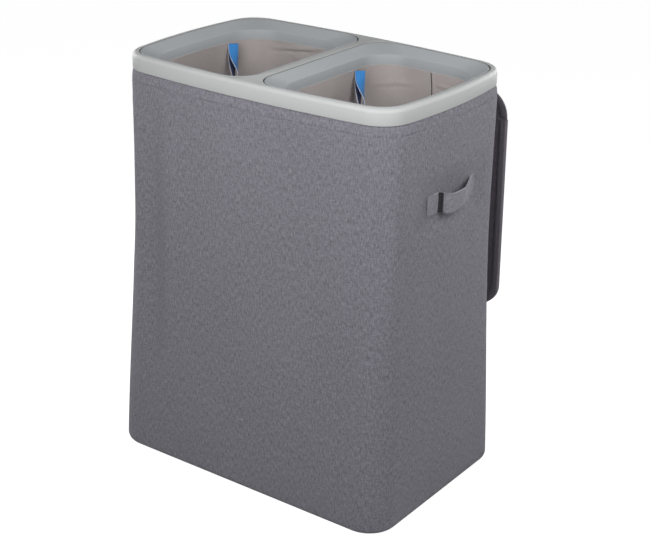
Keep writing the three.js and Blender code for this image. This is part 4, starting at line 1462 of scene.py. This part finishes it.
class HAMPER_OT_handles(bpy.types.Operator):
    """Sews the carry handles: their stitched ends and their loops"""

    bl_idname = "hamper.handles"
    bl_label = "Carry Handles"

    def band_point(self, side, along, off, z, slopes):
        face = cover_side(along, z if slopes else HANDLE_Z)
        return np.array((side * (face + off), along, z))

    def ribbon(self, name, side, part):
        s = sizes()
        slopes = part != "loop"
        line = smooth_route(HANDLE_ROUTES[part], 44)
        run = run_lengths(line)
        low = HANDLE_Z - s.handle_height / 2
        table = np.zeros((len(line), len(BAND_COLUMNS), 3))
        uv = np.zeros((len(line), len(BAND_COLUMNS), 2))
        for row, (along, off) in enumerate(line):
            share = run[row] / run[-1]
            for column, across in enumerate(BAND_COLUMNS):
                z = low + s.handle_height * across
                edge = min(across, 1 - across)
                swell = 0.0003 * math.sin(math.pi * across) - 0.00035 * bell(edge - 0.09, 0.03)
                if part == "loop":
                    swell -= loop_lean(off, across, share)
                    wave = wander(along * 60, z * 50, side)
                    swell += 0.0004 * math.sin(math.pi * share) * wave
                table[row, column] = self.band_point(side, along, off + swell, z, slopes)
                uv[row, column] = (z, run[row])
        if side > 0:
            table, uv = table[:, ::-1], uv[:, ::-1]
        piece = sheet_grid(f"{name}_handle_{part}_band", table, uv)
        thicken(piece, 0.0024)
        soften(piece, 0.0006)
        finish_piece(piece, finish_of("handle"), self.bend_of(name, side, part), "cover_fabric",
                     f"{name}_handle_{part}", smooth=45)
        return piece, run[-1]

    def seam_lines(self, side, part):
        """Rows of points for the stitch lines of a handle's part."""
        s = sizes()
        low = HANDLE_Z - s.handle_height / 2
        line = smooth_route(HANDLE_ROUTES[part], 60)
        slopes = part != "loop"
        edges = (low + SEAM_INSET, low + s.handle_height - SEAM_INSET)
        rows = []
        for z in edges:
            across = (z - low) / s.handle_height
            row = []
            for step, (along, off) in enumerate(line):
                share = step / (len(line) - 1)
                lean = 0.0 if slopes else loop_lean(off, across, share)
                row.append(self.band_point(side, along, off + SEAM_LIFT - lean, z, slopes))
            rows.append(row)
        for ends in CROSS_SEAMS[part]:
            rows.append([
                self.band_point(side, along, PATCH_OFF + SEAM_LIFT, z, slopes)
                for along, z in zip(np.linspace(*ends, 16), np.linspace(*edges, 16))
            ])
        return rows

    def bend_of(self, name, side, part):
        """The body a part moves with; for a sewn end, the hamper, the handle and two points where it
        leaves the cover, which finish_piece does not use, so the end stays fixed in place.
        """
        if part == "loop":
            return f"{name}_handle"
        face = cover_side(0.0, HANDLE_Z)
        start, end = [(side * (face + off), 0, HANDLE_Z) for off in PATCH_BEND]
        return "hamper", f"{name}_handle", start, end

    def bar_tack(self, name, side):
        """Dense dark stitching where the loop leaves the front patch, put there as painted shade: a
        dark thing standing in for the shade in the groove between the patch and the loop.
        """
        s = sizes()
        low = HANDLE_Z - s.handle_height / 2
        line = smooth_route(HANDLE_ROUTES["front_patch"], 200)
        run = run_lengths(line)
        heights = np.linspace(low + 0.0006, low + s.handle_height - 0.0006, 14)
        anchors = []
        for back in np.arange(0.0008, 0.0108, 0.0009):
            (along, off), (next_along, next_off) = [
                [np.interp(run[-1] - back + ahead, run, line[:, k]) for k in (0, 1)]
                for ahead in (0.0, 0.0002)
            ]
            step, rise = next_along - along, next_off - off
            lift = 0.0014 / math.hypot(step, rise)
            along, off = along - rise * lift, off + step * lift
            row = [self.band_point(side, along, off, z, True) for z in heights]
            anchors += stitch_row(row, 0.0026, (side, 0, 0))
        stitches = sew(f"{name}_handle_bar_tack", anchors, 0.0005, 0.0029)
        body = self.bend_of(name, side, "front_patch")
        return finish_piece(stitches, finish_of("dark_thread"), body, "cover_fabric")

    def execute(self, context):
        for name, side in SIDES:
            # The dark stitching is painted shade for the groove where the loop leaves the front patch.
            tack = self.bar_tack(name, side)
            for part in HANDLE_ROUTES:
                piece, run = self.ribbon(name, side, part)
                anchors = []
                for row in self.seam_lines(side, part):
                    anchors += stitch_row(row, 0.0034, (side, 0, 0))
                stitches = sew(f"{name}_handle_{part}_stitches", anchors, 0.00028, 0.0025)
                body = self.bend_of(name, side, part)
                finish_piece(stitches, finish_of("thread"), body, "cover_fabric")
        return {"FINISHED"}


# Lid: its two faces, and fixed measures in metres
LID_FACES = (("outer", -1), ("lining", 1))
CLOTH_INSET = 0.0013
LID_SEAM_INSETS = (0.0082, 0.0135)
TAPE_FLAPS = (0.010, 0.0075, 0.005, 0.0025)
TAPE_SOFT = 0.0016
HINGE_TAPE_WIDTH = 0.38
HINGE_TAPE_HALF = 0.007

# Directions down the hanging lid and out from its lining
LID_DOWN = np.array((0, math.sin(LID_TILT), -math.cos(LID_TILT)))
LID_OUT = np.array((0, math.cos(LID_TILT), math.sin(LID_TILT)))


def lid_point(reach, x, y, z):
    """A point of the hanging lid, whose y runs down from a distance below the hinge."""
    return np.array((x, HINGE_Y, HINGE_Z)) + LID_DOWN * (reach + y) + LID_OUT * z


def corner_loss(radius, past):
    """How far a rounded corner lies inside its straight side, a distance past its start."""
    return radius - math.sqrt(max(0.0, radius**2 - max(0.0, past) ** 2))


class HAMPER_OT_lid(bpy.types.Operator):
    """Sews the hanging lid: its cloths, edge binding, hinge strip and hinge tape"""

    bl_idname = "hamper.lid"
    bl_label = "Hanging Lid"

    def execute(self, context):
        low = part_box("lid_outer_fabric")[0][2]
        reach = (HINGE_Z - low) / math.cos(LID_TILT) - STRIP_LENGTH
        self.lid_length = round(reach + CLOTH_INSET, 4)
        edge = self.edge_path
        corners = [lambda inset: self.strip_path(-1, inset), lambda inset: self.strip_path(1, inset)]
        panels = [self.panel(f"lid_{name}_cloth", side) for name, side in LID_FACES]
        seams, strip_seams = [
            [self.sew_border(f"{part}_{name}_stitches", side, *rest) for name, side in LID_FACES]
            for part, *rest in (
                ("lid", "lid", STRIP_LENGTH, [edge], (0.0049, 0.0031)),
                ("lid_strip", "hinge_strip", 0, corners, (0.0022, 0.0011)),
            )
        ]
        binding, binding_flat = self.bind_edge("lid_binding_tape", 0.0048, STRIP_LENGTH, edge)
        strip = self.hinge_strip()
        tape = self.hinge_tape()
        dark, bound = finish_of("lid"), finish_of("binding")
        for piece, material, body, node in (
            (panels[0], dark, "lid", "lid_outer_fabric"),
            (panels[1], dark, "lid", "lid_lining_fabric"),
            (binding, bound, "lid", "lid_binding"),
            (strip, dark, "hinge_strip", "lid_hinge_strip"),
            (tape, bound, "hamper", "lid_hinge_tape"),
        ):
            finish_piece(piece, material, body, "lid_fabric", node, smooth=50)
        for panel, seam in zip(panels, seams):
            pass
        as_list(strip_seams)
        for side, path in zip(("left", "right"), corners):
            piece, flat = self.bind_edge(f"lid_strip_{side}_binding", 0.0021, 0, path)
            finish_piece(piece, bound, "hinge_strip", "lid_fabric", smooth=50)
        return {"FINISHED"}

    def panel(self, name, side):
        """One of the lid's two cloths; side 1 is the lining, which looks away from the hamper."""
        inset = CLOTH_INSET
        high = self.lid_length - inset
        radius = LID_CORNER - inset
        end, start = (-0.0002, 0.0003) if side < 0 else (0.0013, 0.0016)
        flap = (0.00135, 0.0021, 0.0028)
        rows = list(np.linspace(start, high - radius, 44))
        turns = np.linspace(0, math.pi / 2, 22)[1:]
        rows += [high - radius + radius * math.sin(turn) for turn in turns]
        columns = np.linspace(-1, 1, 75)
        straight = (sizes().lid_width / 2 - inset) * columns
        table = [[lid_point(STRIP_LENGTH, x, end, side * lift) for x in straight] for lift in flap]
        uv = [[(0.27 * share, lift - 0.003) for share in columns] for lift in flap]
        for y in rows:
            half = sizes().lid_width / 2 - inset - corner_loss(radius, y - high + radius)
            points = []
            for x in half * columns:
                edge = min(half - abs(x), high - y)
                wave = 0.000175 * wander(x * 12, y * 12, side * 3.0)
                pull = 0.0003 * math.exp(-edge / 0.016)
                pull += 0.0005 * bell(edge - LID_SEAM_INSETS[1], 0.0018)
                lift = 0.0031 + 0.0002 * (1 - math.exp(-edge / 0.03)) + wave - pull
                points.append(lid_point(STRIP_LENGTH, x, y, side * lift))
            table.append(points)
            uv.append([(x, y) for x in half * columns])
        if side < 0:
            table = [row[::-1] for row in table]
            uv = [row[::-1] for row in uv]
        piece = sheet_grid(name, table, uv)
        thicken(piece, 0.001)
        return piece

    def edge_path(self, inset):
        """The lid's edge from the hinge down one side, round the free end and up the other."""
        half = sizes().lid_width / 2 - inset
        radius = LID_CORNER - inset
        high = self.lid_length - inset
        low = high - radius

        def corner(x, start):
            turns = start - even(16) * math.pi / 2
            return [(x + radius * math.cos(turn), low + radius * math.sin(turn)) for turn in turns]

        points = [(-half, y) for y in np.linspace(0.0008, low, 26)[:-1]]
        points += corner(radius - half, math.pi)
        points += [(x, high) for x in np.linspace(radius - half, half - radius, 32)[:-1]]
        points += corner(half - radius, math.pi / 2)
        return points + [(half, y) for y in np.linspace(low, 0.0008, 26)]

    def strip_path(self, side, inset):
        """The hinge strip's edge, from just over the fold up one side and round its top corner."""
        half, radius = sizes().lid_width / 2, STRIP_CORNER - inset
        centre = half - STRIP_CORNER
        points = []
        for turn in np.linspace(0.05, math.pi / 2, 19):
            points.append((centre + radius * math.cos(turn), STRIP_CORNER - radius * math.sin(turn)))
        points += [(x, inset) for x in np.linspace(centre, 0.193, 5)[1:]]
        return [(side * x, y) for x, y in points]

    def sew_border(self, name, side, body, reach, paths, lifts):
        """Two stitch lines: one on the binding, one on the cloth inside it."""
        out = LID_OUT * side
        anchors = []
        for inset, lift in zip(LID_SEAM_INSETS, lifts):
            for path in paths:
                row = [lid_point(reach, x, y, side * lift) for x, y in path(inset)]
                anchors += stitch_row(row, sizes().stitch_pitch, out)
        stitches = sew(name, anchors, 0.0003, 0.0029)
        return finish_piece(stitches, finish_of("dark_thread"), body, "lid_fabric")

    def bind_edge(self, name, half, reach, path):
        """Folded tape round an edge, and its flat size."""
        soft = TAPE_SOFT
        profile = [(inset, -half) for inset in TAPE_FLAPS]
        for turn in np.linspace(-math.pi / 2, math.pi / 2, 11):
            middle = soft - half if turn < 0 else half - soft
            profile.append((soft * (1 - math.cos(turn)), middle + soft * math.sin(turn)))
        profile += [(inset, half) for inset in reversed(TAPE_FLAPS)]
        paths = [path(inset) for inset, _ in profile]
        table = [[lid_point(reach, x, y, z) for x, y in row] for row, (_, z) in zip(paths, profile)]
        down = run_lengths(profile)
        along = run_lengths(table[len(table) // 2])
        uv = [[(across, run) for run in along] for across in down]
        piece = sheet_grid(name, table, uv)
        face_outward(piece)
        thicken(piece, 0.001, -1)
        return piece, (round(float(down[-1]), 4), round(float(along[-1]), 3))

    def hinge_strip(self):
        turns = np.linspace(0, math.pi / 2, 20)
        rows = [STRIP_CORNER * (1 - math.cos(turn)) for turn in turns]
        rows += list(np.linspace(STRIP_CORNER, STRIP_LENGTH, 3)[1:])
        table, uv = [], []
        for y in rows:
            half = sizes().lid_width / 2 - corner_loss(STRIP_CORNER, STRIP_CORNER - y)
            across = half * np.linspace(-1, 1, 75)
            bow = 0.0004 * math.sin(math.pi * min(1.0, y / STRIP_LENGTH))
            table.append([lid_point(0, x, y, bow * wander(x * 18, y * 20, 2.0)) for x in across])
            uv.append([(x, y) for x in across])
        piece = sheet_grid("lid_hinge_cloth", table, uv)
        thicken(piece, 0.002)
        soften(piece, 0.0005)
        return piece

    def hinge_tape(self):
        low, high = HINGE_Z - HINGE_TAPE_HALF, HINGE_Z + HINGE_TAPE_HALF
        span_x = straight_spans()[0]
        face = cover_shape(0.0, HINGE_Z)["depth"] + 0.0032

        def cover_y(x, z):
            shape = cover_shape(0.0, z)
            return shape["depth"] - shape["long_bow"] * (x / span_x) ** 2 + 0.0006

        def section(x, pinch):
            back, soft = cover_y(x, HINGE_Z), 0.0006
            corners = [
                (back, low), (face - soft, low), (face, low + soft), (face, HINGE_Z),
                (face, high - soft), (face - soft, high), (back, high), (back, low),
            ]
            middle = ((back + face) / 2, HINGE_Z)
            return [
                np.array((x, y + (middle[0] - y) * pinch, z + (middle[1] - z) * pinch))
                for y, z in corners
            ]

        places = np.linspace(-HINGE_TAPE_WIDTH / 2, HINGE_TAPE_WIDTH / 2, 61)
        sections = [section(x, 0) for x in places]
        columns = [section(places[0], 1), *sections, section(places[-1], 1)]
        across = (places[0], *places, places[-1])
        uv = [[(x, down) for x in across] for down in run_lengths(columns[1])]
        piece = sheet_grid("lid_hinge_seam", list(zip(*columns)), uv)
        face_outward(piece)
        return piece


class HAMPER_OT_inner_parts(bpy.types.Operator):
    """Gives the base, poles, clip rings, stiffening strip and lid board their finishes"""

    bl_idname = "hamper.inner_parts"
    bl_label = "Inner Parts"

    def execute(self, context):
        for node in ("base_tray", "bottom_panel"):
            repaint(node, finish_of("tray"))
        for corner in ("front_left", "front_right", "back_left", "back_right"):
            repaint(f"pole_{corner}", finish_of("steel"))
        for node in ("cover_hem_strip", "left_clip_ring", "right_clip_ring"):
            repaint(node, finish_of("fitting"))
        repaint("lid_board", finish_of("board"))
        return {"FINISHED"}


OPERATORS = (
    HAMPER_OT_stage,
    HAMPER_OT_rim,
    HAMPER_OT_bin_frames,
    HAMPER_OT_cover,
    HAMPER_OT_bags,
    HAMPER_OT_straps,
    HAMPER_OT_handles,
    HAMPER_OT_lid,
    HAMPER_OT_inner_parts,
)


class HAMPER_PT_panel(bpy.types.Panel):
    """Lists the hamper's pieces, sizes and colours"""

    bl_idname = "HAMPER_PT_panel"
    bl_label = "Laundry Hamper"
    bl_space_type = "VIEW_3D"
    bl_region_type = "UI"
    bl_category = "Hamper"

    def draw(self, context):
        layout = self.layout
        for operator in OPERATORS:
            layout.operator(operator.bl_idname)
        for label, kept in (("Sizes", sizes()), ("Cloth", cloth()), ("Colours", colours())):
            box = layout.box()
            box.label(text=label)
            for name in kept.__annotations__:
                box.prop(kept, name)


GROUPS = {"hamper_sizes": HamperSizes, "hamper_cloth": HamperCloth, "hamper_colours": HamperColours}
KINDS = (*GROUPS.values(), *OPERATORS, HAMPER_PT_panel)


def register():
    for kind in KINDS:
        bpy.utils.register_class(kind)
    for name, group in GROUPS.items():
        setattr(bpy.types.Scene, name, PointerProperty(type=group))


def unregister():
    for name in GROUPS:
        delattr(bpy.types.Scene, name)
    for kind in reversed(KINDS):
        bpy.utils.unregister_class(kind)


def main():
    register()
    make_yarn_group()
    make_grain_group()
    make_rib_group()
    bpy.ops.hamper.stage()
    bpy.ops.hamper.rim()
    bpy.ops.hamper.bin_frames()
    bpy.ops.hamper.cover()
    bpy.ops.hamper.bags()
    bpy.ops.hamper.straps()
    bpy.ops.hamper.handles()
    bpy.ops.hamper.lid()
    bpy.ops.hamper.inner_parts()
    deselect()


if __name__ == "__main__":
    main()
